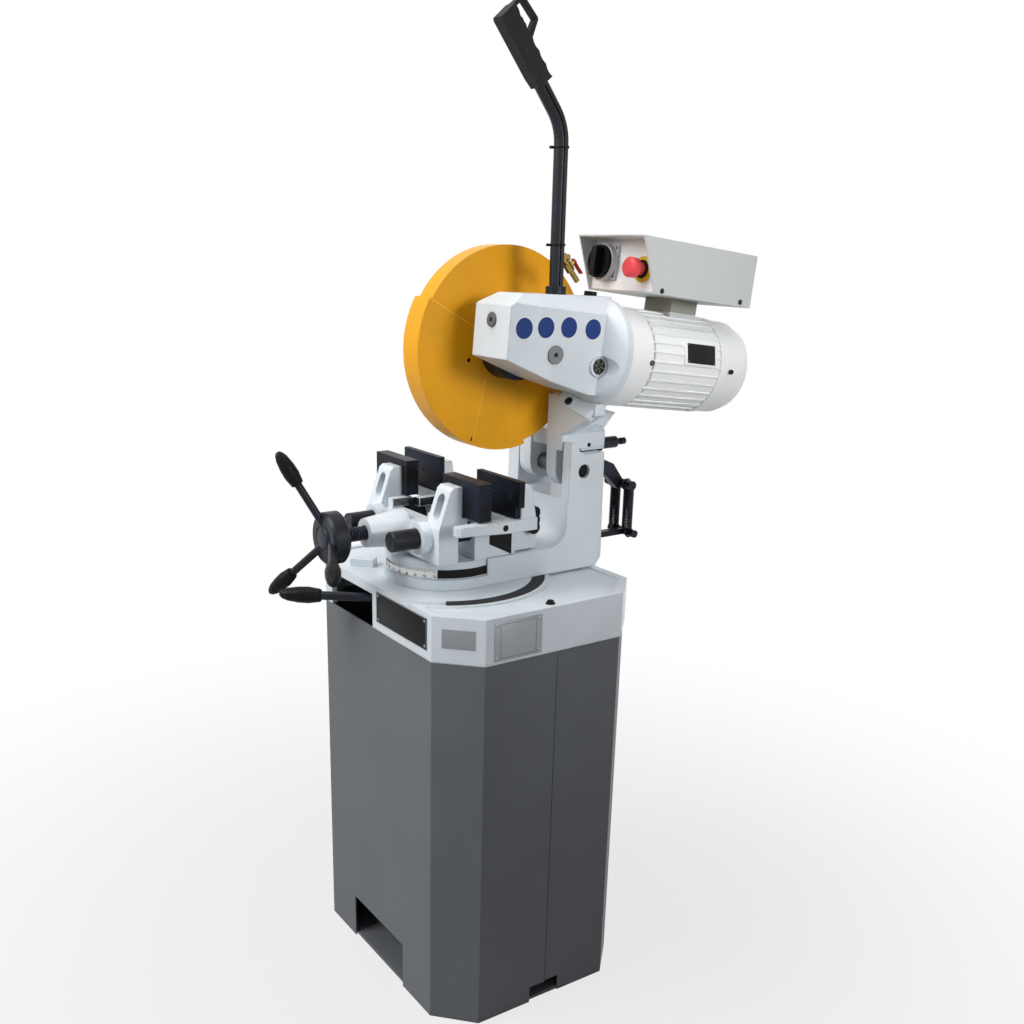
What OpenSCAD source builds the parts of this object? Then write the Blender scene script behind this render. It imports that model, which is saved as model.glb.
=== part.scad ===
// Cold saw on a floor stand: swinging arm, lowering head, twin-jaw vise.
// +Z is up, the operator stands at -Y, and the blade plane is x = 0.

/* [Stand] */
// Stand width, side to side
stand_w = 570; // [500:1:640]
// Stand depth, front to back
stand_d = 458; // [420:1:520]
// Bevel across each corner
corner = 71; // [50:1:85]
// Stand height up to the tray
stand_h = 765; // [600:1:850]
// Sheet thickness of the stand
sheet = 3; // [2:0.5:4]
// Floor plate thickness
floor_t = 6; // [5:1:10]
// Anchor hole radius
anchor_r = 7; // [5:0.5:9]
// Anchor spacing, side to side
anchor_w = 420; // [380:1:440]
// Anchor spacing, front to back
anchor_d = 300; // [260:1:320]
// Width of the toe opening
toe_w = 210; // [150:1:260]
// Height of the toe opening
toe_h = 100; // [70:1:140]

/* [Tray] */
// Height of the drip tray
tray_h = 89; // [80:1:110]
// Wall of the tray
tray_wall = 12; // [8:1:16]
// Thickness of the tray deck
deck_t = 20; // [16:1:26]
// Depth of the drain pan in the deck
pan_depth = 4; // [2:0.5:6]
// Width of the lever opening
lever_gap_w = 176; // [150:1:200]

/* [Turntable] */
// Turntable axis, forward of the stand centre
turn_fwd = 72; // [60:1:85]
// Radius of the arm ring
ring_r = 119; // [118:0.5:124]
// Height of the arm ring
ring_h = 22; // [18:1:26]
// Radius of the fixed disc
disc_r = 115; // [110:0.5:116]
// Height of the fixed disc
disc_h = 33; // [30:1:38]
// Radius of the spigot the ring turns on
spigot_r = 80; // [70:1:90]

/* [Swing arm] */
// Arm reach left of the blade plane
arm_left = 96; // [94:1:110]
// Arm reach right of the blade plane
arm_right = 113; // [110:1:120]
// Height of the arm beam
beam_h = 54; // [50:1:55]
// Column front, behind the turntable axis
col_fwd = 222; // [216:1:226]
// Depth of the column
col_d = 93; // [90:1:100]
// Height of the ears above the deck
ear_h = 261; // [255:1:268]
// Left ear thickness
ear_left_t = 36; // [30:1:38]
// Right ear thickness
ear_right_t = 24; // [20:1:26]
// Extra thickness low on the right ear
ear_pad = 16; // [8:1:18]
// Height of the web between the ears
web_h = 146; // [130:1:150]
// Pivot height above the deck
pivot_up = 202; // [200:1:206]
// Pivot behind the turntable axis
pivot_back = 262; // [258:1:266]
// Pivot shaft radius
pivot_r = 17; // [15:0.5:18]
// Shaft end radius in the ears
pivot_end_r = 14; // [11:0.5:14.5]

/* [Head] */
// Arbor ahead of the pivot
arbor_fwd = 138; // [134:1:142]
// Arbor above the pivot
arbor_up = 242; // [238:1:248]
// Nose-up pitch of the head at rest, degrees
pitch = 7.5; // [6:0.5:9]
// Gearbox left face from the blade plane
gear_left = 72; // [70:1:76]
// Gearbox width
gear_w = 111; // [104:1:118]
// Gearbox length
gear_l = 251; // [245:1:258]
// Gearbox height
gear_h = 184; // [178:1:190]
// Bevel along the gearbox top edges
gear_bevel = 33; // [25:1:38]
// Lug radius round the pivot
lug_r = 38; // [35:0.5:40]
// Neck height above the pivot
neck_h = 149; // [146:1:152]
// Spindle nose radius
nose_r = 58; // [54:0.5:62]
// Arbor shaft radius
arbor_r = 20; // [18:0.5:22]

/* [Motor] */
// Motor flange radius
flange_r = 107; // [104:1:110]
// Motor body radius over the fins
motor_r = 95; // [92:1:96]
// Motor body length
motor_l = 262; // [240:1:280]
// Motor axis above the arbor
motor_up = 8; // [6:1:10]
// Fin height
fin_h = 9; // [6:0.5:11]
// Fin count
fins = 32; // [20:4:40]
// Fan cover length
cover_l = 78; // [60:1:100]

/* [Control box] */
// Box width
box_w = 190; // [180:1:200]
// Box height
box_h = 99; // [90:1:110]
// Box length along the top
box_l = 297; // [280:1:310]
// Box sheet thickness
box_t = 3; // [2:0.5:4]

/* [Handle] */
// Handle tube radius
tube_r = 13; // [11:0.5:15]
// Straight tube height
tube_h = 245; // [200:1:280]
// Bend radius of the tube
bend_r = 90; // [70:1:110]
// Bend angle, degrees
bend_a = 37.6; // [30:0.2:45]
// Tube length past the bend
tube_tail = 50; // [40:1:70]
// Grip length
grip_l = 135; // [120:1:150]
// Grip depth
grip_d = 54; // [48:1:58]
// Grip width
grip_w = 27; // [24:1:34]

/* [Blade and guards] */
// Blade radius
blade_r = 175; // [160:1:178]
// Blade thickness
blade_t = 2.5; // [2:0.1:3]
// Tooth count
teeth = 96; // [72:4:120]
// Fixed guard radius
guard_r = 191; // [186:1:192]
// Half width of the fixed guard
guard_x = 23; // [20:0.5:23.5]
// Moving guard radius
mguard_r = 198; // [195:0.5:200]
// Half width of the moving guard
mguard_x = 27; // [26:0.5:29]
// Guard sheet thickness
guard_t = 2; // [1.5:0.25:2]

/* [Vise] */
// Vise screw height above the deck
screw_up = 108; // [106:1:110]
// Vise screw radius
screw_r = 14; // [12:0.5:16]
// Guide bar radius
bar_r = 19.5; // [17:0.5:20]
// Guide bar distance from the blade plane
bar_x = 85; // [82:1:88]
// Bed top above the deck
bed_up = 149; // [147:1:152]
// Bed plate thickness
bed_t = 17; // [14:1:22]
// Bed half width
bed_x = 202; // [196:1:208]
// Jaw plate height
jaw_h = 70; // [60:1:75]
// Jaw plate inner end from the blade plane
jaw_in = 68; // [66:1:70]
// Jaw plate outer end from the blade plane
jaw_out = 209; // [195:1:215]
// Front jaw plate thickness
front_jaw_t = 27; // [20:1:28]
// Rear jaw plate thickness
rear_jaw_t = 12; // [10:1:14]
// Jaw opening at rest
jaw_open = 50; // [40:1:55]
// Handwheel hub radius
wheel_r = 50; // [44:1:56]
// Handwheel hub depth
wheel_d = 36; // [30:1:42]
// Spoke length from the axis
spoke_l = 118; // [105:1:130]
// Spoke lean towards the operator, degrees
spoke_lean = 25.5; // [15:0.5:32]
// Spoke radius
spoke_r = 7.5; // [6:0.5:9]
// Spoke grip length
knob_l = 70; // [55:1:80]
// Spoke grip radius
knob_r = 15; // [12:0.5:18]

/* [Return springs] */
// Coil mean radius
coil_r = 9.9; // [8:0.1:11]
// Spring wire radius
wire_r = 1.5; // [1.2:0.1:1.7]
// Curls in each spring
curls = 18; // [14:1:20]
// Distance between the two springs
spring_gap = 42; // [34:1:48]

/* [Mitre lever] */
// Lever rod radius
rod_r = 9; // [7:0.5:10]
// Lever rod length from its axis
rod_l = 174; // [160:1:190]
// Lever direction left of straight ahead, degrees
lever_a = 38; // [34:1:42]
// Lever grip length
lever_knob_l = 85; // [70:1:95]
// Lever grip radius
lever_knob_r = 17; // [14:0.5:19]

/* [Hidden] */
$fn = 64;
cut = 1;
fit = 0.05;
seat = 0.08;
slip = 0.3;
clear = 2;

// places of the main axes
deck_z = stand_h + tray_h;
turn_y = -turn_fwd;
disc_z = deck_z + ring_h;
base_z = disc_z + disc_h;
col_y = turn_y + col_fwd;
back_y = col_y + col_d;
pivot_y = turn_y + pivot_back;
pivot_z = deck_z + pivot_up;
arbor_y = pivot_y - arbor_fwd;
arbor_z = pivot_z + arbor_up;
gear_right = gear_left + gear_w;
gear_mid = gear_left + gear_w / 2;
white = [0.86, 0.89, 0.92];
amber = [0.80, 0.55, 0.07];
grey = [0.42, 0.43, 0.45];
black = [0.07, 0.07, 0.08];
steel = [0.62, 0.63, 0.65];
bevel_share = 2 - sqrt(2);

// stand values
seam_y = 4;
lap = 20;
notch_w = 74;
notch_h = 35;
tank_shares = [0.632, 0.546, 0.131];
tank_w = tank_shares[0] * stand_w;
tank_d = tank_shares[1] * stand_d;
tank_y = tank_shares[2] * stand_d;
tank_h = 180;
pump_r = 45;
pump_h = 250;

// tray values
rim_w = 16;
pan_pad_r = 214;
slot_in_r = 187;
slot_w = 16;
slot_depth = 6;
slot_from = -82;
slot_sweep = 144;
lever_gap_right = -8;
pad_l = 50;
pad_w = 28;
pad_h = 15;
pad_x = -134;
pad_y = -180;

module plan(inset) {
  hw = stand_w / 2 - inset;
  hd = stand_d / 2 - inset;
  c = corner - inset * bevel_share;
  polygon([
    [-hw + c, -hd], [hw - c, -hd], [hw, -hd + c], [hw, hd - c],
    [hw - c, hd], [-hw + c, hd], [-hw, hd - c], [-hw, -hd + c]
  ]);
}

// extrusions along X of a (y, z) outline and along Y of an (x, z) outline
module along_x(x0, l) {
  translate([x0, 0, 0])
    rotate([90, 0, 90])
      linear_extrude(l)
        children();
}

module along_y(y0, l) {
  translate([0, y0 + l, 0])
    rotate([90, 0, 0])
      linear_extrude(l)
        children();
}

module rod_x(x0, l, r) {
  translate([x0, 0, 0])
    rotate([0, 90, 0])
      cylinder(h = l, r = r);
}

module rod_y(y0, l, r, r2) {
  translate([0, y0, 0])
    rotate([-90, 0, 0])
      cylinder(h = l, r1 = r, r2 = is_undef(r2) ? r : r2);
}

module box(x, y, z) {
  translate([x[0], y[0], z[0]])
    cube([x[1] - x[0], y[1] - y[0], z[1] - z[0]]);
}

module both_sides() {
  children();
  mirror([1, 0, 0])
    children();
}

module side_notch() {
  notch_y = seam_y - notch_w / 2;
  box([-stand_w, stand_w], [notch_y, notch_y + notch_w], [-cut, notch_h]);
}

module stand_front() {
  color(grey)
    difference() {
      linear_extrude(stand_h)
        plan(0);
      translate([0, 0, -cut])
        linear_extrude(stand_h + 2 * cut)
          plan(sheet);
      box([-stand_w, stand_w], [seam_y, stand_d], [-cut, stand_h + cut]);
      box([-toe_w / 2, toe_w / 2], [-stand_d, 0], [-cut, toe_h]);
      side_notch();
    }
}

module stand_rear() {
  color(grey)
    difference() {
      linear_extrude(stand_h)
        plan(sheet);
      translate([0, 0, -cut])
        linear_extrude(stand_h + 2 * cut)
          plan(2 * sheet);
      box([-stand_w, stand_w], [-stand_d, seam_y - lap], [-cut, stand_h + cut]);
      side_notch();
    }
}

module floor_plate() {
  color(grey)
    difference() {
      linear_extrude(floor_t)
        plan(2 * sheet);
      for (sx = [-1, 1], sy = [-1, 1])
        translate([sx * anchor_w / 2, sy * anchor_d / 2, -cut])
          cylinder(h = floor_t + 2 * cut, r = anchor_r);
    }
}

module coolant_tank() {
  color(grey)
    translate([0, tank_y, floor_t])
      difference() {
        box([-tank_w / 2, tank_w / 2], [-tank_d / 2, tank_d / 2], [0, tank_h]);
        box([sheet - tank_w / 2, tank_w / 2 - sheet], [sheet - tank_d / 2, tank_d / 2 - sheet],
            [sheet, tank_h + cut]);
      }
}

module coolant_pump() {
  lid_share = 0.3;
  color(black)
    translate([tank_w / 4, tank_y, floor_t + sheet]) {
      cylinder(h = pump_h, r = pump_r * lid_share);
      translate([0, 0, pump_h * (1 - lid_share)])
        cylinder(h = pump_h * lid_share, r = pump_r);
      cylinder(h = pump_h * lid_share, r = pump_r);
    }
}

module drip_tray() {
  color(white)
    translate([0, 0, stand_h])
      difference() {
        linear_extrude(tray_h)
          plan(0);
        translate([0, 0, -cut])
          linear_extrude(tray_h - deck_t + cut)
            plan(tray_wall);
        difference() {
          translate([0, 0, tray_h - pan_depth])
            linear_extrude(pan_depth + cut)
              plan(rim_w);
          translate([0, turn_y, 0])
            cylinder(h = tray_h, r = pan_pad_r);
        }
        translate([0, turn_y, tray_h - slot_depth])
          rotate([0, 0, slot_from])
            rotate_extrude(angle = slot_sweep)
              translate([slot_in_r, 0])
                square([slot_w, slot_depth + cut]);
        box([lever_gap_right - lever_gap_w, lever_gap_right], [-stand_d, -stand_d / 2 + tray_wall + cut],
            [-cut, tray_h - deck_t]);
      }
}

module tray_pad() {
  color(steel)
    translate([pad_x, pad_y, deck_z])
      rotate([0, 0, 45])
        box([-pad_l / 2, pad_l / 2], [-pad_w / 2, pad_w / 2], [0, pad_h]);
}

// mitre clamp and its lever
lever_in = 74;
lever_y = lever_in - stand_d / 2;
lever_share = 0.55;
lever_z = stand_h + lever_share * tray_h;
stud_r = 8;
lever_hub_r = 20;
lever_hub_h = 28;

module clamp_stud() {
  color(steel)
    translate([0, lever_y, lever_z - lever_hub_h / 2])
      cylinder(h = deck_z - deck_t - lever_z + lever_hub_h / 2, r = stud_r);
}

module lever_frame() {
  translate([0, lever_y, lever_z])
    rotate([0, 0, -lever_a])
      children();
}

module mitre_lever() {
  color(black)
    lever_frame()
      difference() {
        union() {
          translate([0, 0, -lever_hub_h / 2])
            cylinder(h = lever_hub_h, r = lever_hub_r);
          rod_y(-rod_l, rod_l, rod_r);
        }
        translate([0, 0, -lever_hub_h])
          cylinder(h = 2 * lever_hub_h, r = stud_r + fit);
      }
}

// spindle-shaped grip, along +Z from its root
module grip_shape(l, r) {
  shares = [[0, 0.72], [0.03, 0.8], [0.3, 1], [0.55, 0.96], [0.8, 0.78], [0.93, 0.54], [1, 0.26]];
  rotate_extrude()
    polygon(concat([[0, 0]], [for (s = shares) [r * s[1], l * s[0]]], [[0, l]]));
}

module lever_grip() {
  color(black)
    lever_frame()
      translate([0, -rod_l, 0])
        rotate([90, 0, 0])
          grip_shape(lever_knob_l, lever_knob_r);
}

// turntable
band_t = 4;
scale_t = 2;
band_h = 17;
band_up = 2;

module turntable_spigot() {
  color(steel)
    translate([0, turn_y, deck_z])
      cylinder(h = ring_h, r = spigot_r - fit);
}

module mitre_scale() {
  color(steel)
    translate([0, turn_y, disc_z + band_up])
      difference() {
        cylinder(h = band_h, r = disc_r - band_t + scale_t);
        translate([0, 0, -cut])
          cylinder(h = band_h + 2 * cut, r = disc_r - band_t);
      }
}

// vise places
screw_z = deck_z + screw_up;
bed_z = deck_z + bed_up;
rear_face_y = -38;
front_face_y = rear_face_y - jaw_open;
plate_gap = 3;
plate_z = bed_z + plate_gap;
rail_in = 48;
rail_out = 64;
rail_y = -98;
notch_y = -48;
wing_in = 178;
wing_y = -165;
wing_left_y = -112;
bed_back = 10;
ped_x = 112;
ped_y = -70;
ped_back = 25;
trough_up = 119;
post_in = 75;
post_out = 200;
post_back = 8;
post_h = 62;
shelf_in = 37;
shelf_out = 102;
shelf_back = 84;
shelf_up = 2;
shelf_h = 42;
post_t = 18;
post_w = 34;
stud_y = shelf_back - post_w / 2;
stud_z = 63;
journal_r = 9;
journal_y = -40;
seat_depth = 30;

module bed_half(front) {
  lip_share = 1.35;
  tip = 6;
  difference() {
    union() {
      translate([0, 0, bed_z - bed_t])
        linear_extrude(bed_t)
          polygon([
            [rail_in, rail_y], [rail_out, rail_y], [rail_out, notch_y], [wing_in, notch_y],
            [wing_in, front + tip], [wing_in + tip, front], [bed_x - tip, front], [bed_x, front + tip],
            [bed_x, bed_back], [rail_in, bed_back]
          ]);
      along_x(post_in, post_out - post_in)
        polygon([
          [rear_face_y + rear_jaw_t, bed_z - bed_t / 2], [rear_face_y + rear_jaw_t, bed_z + post_h],
          [post_back - rear_jaw_t, bed_z + post_h], [bed_back, bed_z - bed_t / 2]
        ]);
      along_x(bed_x - rear_jaw_t, rear_jaw_t)
        polygon([
          [front + 2 * tip, bed_z - bed_t / 2], [front + 2 * tip, bed_z - bed_t],
          [notch_y, bed_z - lip_share * bed_t], [bed_back, bed_z - lip_share * bed_t],
          [bed_back, bed_z - bed_t / 2]
        ]);
      box([rail_in, ped_x], [ped_y, ped_back], [base_z, bed_z - bed_t]);
      box([rail_in, ped_x], [ped_y + bed_t, ped_back], [bed_z - 2 * bed_t, bed_z - bed_t / 2]);
    }
    translate([bar_x, 0, screw_z])
      rod_y(ped_y - cut, seat_depth + cut, bar_r + seat);
  }
}

module vise_bed() {
  color(white)
    difference() {
      union() {
        difference() {
          translate([0, turn_y, disc_z])
            cylinder(h = disc_h, r = disc_r);
          translate([0, turn_y, disc_z + band_up])
            difference() {
              cylinder(h = band_h, r = disc_r + cut);
              translate([0, 0, -cut])
                cylinder(h = band_h + 2 * cut, r = disc_r - band_t);
            }
        }
        bed_half(wing_y);
        mirror([1, 0, 0])
          bed_half(wing_left_y);
        box([-rail_in, rail_in], [ped_y, ped_back], [base_z, deck_z + trough_up]);
        box([shelf_in, shelf_out], [ped_back - cut, shelf_back], [base_z + shelf_up, base_z + shelf_h]);
        box([shelf_out - post_t, shelf_out], [shelf_back - post_w, shelf_back],
            [base_z + shelf_up, base_z + stud_z + post_w / 2]);
      }
      translate([0, 0, screw_z])
        rod_y(ped_y - cut, journal_y - ped_y + cut, journal_r + fit);
      translate([0, stud_y, base_z + stud_z])
        rod_x(shelf_out - post_t - cut, post_t + 2 * cut, stud_r + fit);
    }
}

module rear_jaw_plates() {
  step_share = 0.3;
  color(black)
    both_sides()
      difference() {
        box([jaw_in, jaw_out], [rear_face_y, rear_face_y + rear_jaw_t], [plate_z, plate_z + jaw_h]);
        box([jaw_out - rear_jaw_t, jaw_out + cut], [rear_face_y - cut, rear_face_y + rear_jaw_t + cut],
            [plate_z - cut, plate_z + jaw_h * step_share]);
      }
}

bar_front = -241;

module guide_bars() {
  chamfer = 2;
  color(black)
    both_sides()
      translate([bar_x, 0, screw_z]) {
        rod_y(bar_front + chamfer, ped_y + seat_depth - bar_front - chamfer, bar_r);
        rod_y(bar_front, chamfer, bar_r - chamfer, bar_r);
      }
}

module jaw_knob() {
  lobe_r = 13;
  lobe_w = 16;
  lobe_gap = 15;
  waist = 9;
  color(black)
    translate([shelf_out, stud_y, base_z + stud_z]) {
      rod_x(-post_t, post_t + lobe_w / 2, stud_r);
      rod_x(slip, lobe_w, lobe_r);
      for (s = [-1, 1])
        translate([0, 0, s * lobe_gap])
          rod_x(slip, lobe_w, lobe_r);
      box([slip, lobe_w], [-waist, waist], [-lobe_gap, lobe_gap]);
    }
}

// moving jaw
jaw_x = 135;
jaw_front = -165;
jaw_back = -123;
jaw_low_up = 62;
jaw_top_up = 130;
jaw_low = deck_z + jaw_low_up;
jaw_top = deck_z + jaw_top_up;
cheek_in = 88;
cheek_x = 136;
cheek_h = 59;
cheek_top = bed_z + cheek_h;
shoe_y = -103;
shoe_in = 67;
shoe_drop = 16;
nose_front = -248;
nose_front_r = 28;
nose_back_r = 38;
boss_front = -185;
boss_r = 31;
nut_r = 20;
nut_l = 50;
nut_in = 2;
bolt_r = 6;
head_r = 11;
screw_play = 0.5;

module jaw_cheek() {
  seat_y = front_face_y - front_jaw_t;
  lean = 25;
  crown_share = 1.3;
  sink_share = 1.8;
  difference() {
    union() {
      along_x(cheek_in, cheek_x - cheek_in)
        polygon([
          [jaw_front, jaw_low], [jaw_front, jaw_top], [jaw_front + lean, cheek_top - lean / 4],
          [jaw_front + crown_share * lean, cheek_top], [seat_y, cheek_top],
          [seat_y, bed_z], [jaw_back, bed_z - shoe_drop], [jaw_back, jaw_low]
        ]);
      box([shoe_in, cheek_x], [jaw_back - lean, shoe_y], [bed_z - shoe_drop, bed_z]);
      box([shoe_in, cheek_in + cut], [jaw_back - lean, jaw_back], [jaw_top - lean, bed_z - shoe_drop]);
    }
    translate([(cheek_in + cheek_x) / 2, 0, cheek_top - lean])
      rod_y(jaw_front - cut, cheek_top, bolt_r);
    translate([(cheek_in + cheek_x) / 2, 0, cheek_top - lean]) {
      rod_y(jaw_front - cut, sink_share * lean, head_r);
      box([-head_r, head_r], [jaw_front - cut, jaw_front + sink_share * lean - cut], [-lean, 0]);
      translate([0, 0, -lean])
        rod_y(jaw_front - cut, sink_share * lean, head_r);
    }
  }
}

module moving_jaw() {
  color(white)
    difference() {
      union() {
        box([-jaw_x, jaw_x], [jaw_front, jaw_back], [jaw_low, jaw_top]);
        both_sides()
          jaw_cheek();
        translate([0, 0, screw_z])
          rod_y(nose_front, jaw_front - nose_front + cut, nose_front_r, nose_back_r);
        both_sides()
          translate([bar_x, 0, screw_z])
            rod_y(boss_front, jaw_front - boss_front + cut, boss_r);
      }
      translate([0, 0, screw_z]) {
        rod_y(nose_front - cut, jaw_back - nose_front + 2 * cut, screw_r + screw_play);
        rod_y(nose_front + nut_in, nut_l, nut_r + seat);
      }
      both_sides()
        translate([bar_x, 0, screw_z])
          rod_y(boss_front - cut, jaw_back - boss_front + 2 * cut, bar_r + fit);
    }
}

module vise_nut() {
  color([0.72, 0.56, 0.28])
    translate([0, 0, screw_z])
      difference() {
        rod_y(nose_front + nut_in, nut_l, nut_r);
        rod_y(nose_front, nut_l + 2 * nut_in, screw_r + fit);
      }
}

module front_jaw_plates() {
  short = 17;
  color(black)
    both_sides()
      box([jaw_in, jaw_out - short], [front_face_y - front_jaw_t, front_face_y], [plate_z, plate_z + jaw_h]);
}

screw_front = -300;
screw_end = -130;

module vise_screw() {
  color(black)
    translate([0, 0, screw_z]) {
      rod_y(screw_front, screw_end - screw_front, screw_r);
      rod_y(screw_end, journal_y - screw_end - slip, journal_r);
    }
}

module spokes() {
  spoke_turn = -18;
  for (k = [0 : 2])
    translate([0, screw_front - wheel_d / 2, screw_z])
      rotate([0, spoke_turn + k * 120, 0])
        rotate([spoke_lean, 0, 0])
          children();
}

module handwheel() {
  chamfer = 5;
  color(black)
    union() {
      translate([0, 0, screw_z]) {
        rod_y(screw_front - wheel_d + chamfer, wheel_d - 2 * chamfer, wheel_r);
        rod_y(screw_front - chamfer, chamfer, wheel_r, wheel_r - chamfer);
        rod_y(screw_front - wheel_d, chamfer, wheel_r - chamfer, wheel_r);
      }
      spokes()
        cylinder(h = spoke_l, r = spoke_r);
    }
}

module handwheel_grips() {
  color(black)
    spokes()
      translate([0, 0, spoke_l])
        grip_shape(knob_l, knob_r);
}

// swing arm
beam_z = deck_z + beam_h;
ear_shares = [
  [0, 0.1], [0.06, 1], [0.19, 1], [0.31, 0.925], [0.42, 0.905], [0.97, 0.905], [1, 0.07], [0.86, 0.002],
  [0.2, 0.002]
];
sweep_r = 40;

module ear(x0, t) {
  along_x(x0, t)
    polygon([for (s = ear_shares) [col_y + s[0] * col_d, deck_z + s[1] * ear_h]]);
}

module swing_arm() {
  web_z = deck_z + web_h;
  pad_share = 0.75;
  pad_z = deck_z + pad_share * web_h;
  sweep_y = col_y - sweep_r;
  arm_w = arm_left + arm_right;
  color(white)
    difference() {
      union() {
        translate([0, turn_y, deck_z + slip])
          cylinder(h = ring_h - 2 * slip, r = ring_r);
        along_x(-arm_left, arm_w)
          polygon([
            [turn_y, deck_z + slip], [turn_y, beam_z], [back_y, beam_z],
            [back_y, deck_z + beam_h / 3], [back_y - beam_h / 4, deck_z + slip]
          ]);
        ear(-arm_left, ear_left_t);
        ear(arm_right - ear_right_t, ear_right_t);
        along_x(-arm_left, arm_w)
          polygon(concat(
            [[back_y - sheet, beam_z - cut], [back_y - sheet, web_z], [col_y, web_z]],
            [for (a = [0 : 10 : 90]) [sweep_y + sweep_r * cos(a), beam_z + sweep_r * (1 - sin(a))]],
            [[sweep_y, beam_z - cut]]
          ));
        box([arm_right - ear_right_t - ear_pad, arm_right], [col_y + sheet, back_y - sheet], [beam_z, pad_z]);
      }
      translate([0, turn_y, deck_z]) {
        translate([0, 0, -cut])
          cylinder(h = ring_h + 2 * cut, r = spigot_r);
        translate([0, 0, ring_h - slip])
          cylinder(h = beam_h, r = disc_r + clear);
      }
      translate([0, pivot_y, pivot_z])
        rod_x(-arm_left - cut, arm_w + 2 * cut, pivot_end_r + seat);
    }
}

module pivot_shaft() {
  shaft_l = arm_left + arm_right - ear_left_t - ear_right_t;
  end_in = 8;
  color(steel)
    translate([0, pivot_y, pivot_z]) {
      rod_x(ear_left_t - arm_left, shaft_l, pivot_r);
      rod_x(-arm_left, arm_left + arm_right - end_in, pivot_end_r);
    }
}

// return springs between the arm and the head
spring_x = 54;
spring_y = 345;
low_bar_y = 352;
low_bar_up = 46;
low_bar_z = deck_z + low_bar_up;
low_bar_r = 8;
high_bar_y = 338;
high_bar_up = 152;
high_bar_z = deck_z + high_bar_up;
high_bar_r = 10;
bar_half = 40;
strap_w = 16;
strap_t = 12;

module lower_spring_bracket() {
  color(black)
    union() {
      box([spring_x - strap_w / 2, spring_x + strap_w / 2], [back_y, low_bar_y],
          [low_bar_z - strap_t / 2, low_bar_z + strap_t / 2]);
      translate([0, low_bar_y, low_bar_z])
        rod_x(spring_x - bar_half, 2 * bar_half, low_bar_r);
    }
}

spring_seat = 0.5;
coil_z0 = low_bar_z + low_bar_r + wire_r + spring_seat;
spring_lift = 0.8;
coil_z1 = high_bar_z - high_bar_r - wire_r - spring_seat + spring_lift;
curl_rings = 8;
wire_sides = 6;
coil_pitch = (coil_z1 - coil_z0) / curls;
function coil_point(t) = [coil_r * cos(360 * t), coil_r * sin(360 * t), coil_z0 + coil_pitch * t];
function coil_dir(t) =
  let (d = [-2 * PI * coil_r * sin(360 * t), 2 * PI * coil_r * cos(360 * t), coil_pitch])
  d / norm(d);
coil_rows = concat(
  [[coil_point(0) - 2 * wire_r * coil_dir(0), 0]],
  [for (i = [0 : curls * curl_rings]) [coil_point(i / curl_rings), i / curl_rings]],
  [[coil_point(curls) + 2 * wire_r * coil_dir(curls), curls]]
);
coil_gap = min([
  for (k = [0 : curl_rings])
    norm(coil_point(1 + k / curl_rings) - coil_point(k / curl_rings)) - 2 * wire_r
]);
echo(least_spring_gap = coil_gap);

function wire_ring(row) =
  let (
    out = [cos(360 * row[1]), sin(360 * row[1]), 0],
    up = cross(out, coil_dir(row[1]))
  )
  [for (k = [0 : wire_sides - 1])
    row[0] + wire_r * (cos(360 * k / wire_sides) * out + sin(360 * k / wire_sides) * up)];

// skin of a tube from rings of n points each
function tube_faces(rows, n) = concat(
  [for (k = [1 : n - 2]) [0, k, k + 1]],
  [for (i = [0 : rows - 2], k = [0 : n - 1], h = [0, 1])
    let (a = i * n + k, b = i * n + (k + 1) % n)
    h == 0 ? [a, a + n, b + n] : [a, b + n, b]],
  [for (k = [1 : n - 2]) let (e = (rows - 1) * n) [e, e + k + 1, e + k]]
);

module return_springs() {
  points = [for (row = coil_rows) each wire_ring(row)];
  color(black)
    for (s = [-1, 1])
      translate([spring_x + s * spring_gap / 2, spring_y, 0])
        polyhedron(points, tube_faces(len(coil_rows), wire_sides));
}

module upper_spring_bracket() {
  root_y = pivot_y + lug_r;
  strap_shares = [[0, 0.1], [0, 0.6], [0.75, -0.1], [1.06, -1.0], [0.88, -1.2], [0.6, -0.62]];
  reach = high_bar_y - root_y;
  drop = pivot_z - high_bar_z;
  color(black)
    union() {
      along_x(spring_x - strap_w / 2, strap_w)
        polygon([for (s = strap_shares) [root_y + s[0] * reach, pivot_z + s[1] * drop]]);
      translate([0, high_bar_y, high_bar_z])
        rod_x(spring_x - bar_half, 2 * bar_half, high_bar_r);
    }
}

// head, in a frame at the arbor that pitches with the gearbox
gear_shares = [
  [-0.422, -0.098], [0, -0.266], [0.355, -0.364], [0.562, -0.364], [0.562, 0.636], [-0.303, 0.543],
  [-0.442, 0.408]
];
face_share = 0.562;
top_share = 0.62;
cap_share = 0.437;
face_y = face_share * gear_l;
gear_top = top_share * gear_h;
flange_t = 12;
flange_left = 33;
bearing_r = 34;
bearing_l = 15;
arbor_end = 152;
boss_left = -58;
boss_right = -20;
lug_left = 38;
lug_right = 69;
neck_right = 86;
fin_right = 70;
stop_share = 1.9;
stop_x = 76;
stop_up_share = 0.3;
collar_r = 19;
collar_in = 24;
cap_r = 13;
cap_in = 6;
worm_up = 49;
oil_y = 107;
ring_out = 19;
glass_y = 103;
glass_z = -13;
oil_r = 12;
tube_back = 39;
tube_up = 118;
tube_y = arbor_y + tube_back;
tube_z = arbor_z + tube_up;

module head_frame() {
  translate([0, arbor_y, arbor_z])
    rotate([-pitch, 0, 0])
      children();
}

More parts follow.
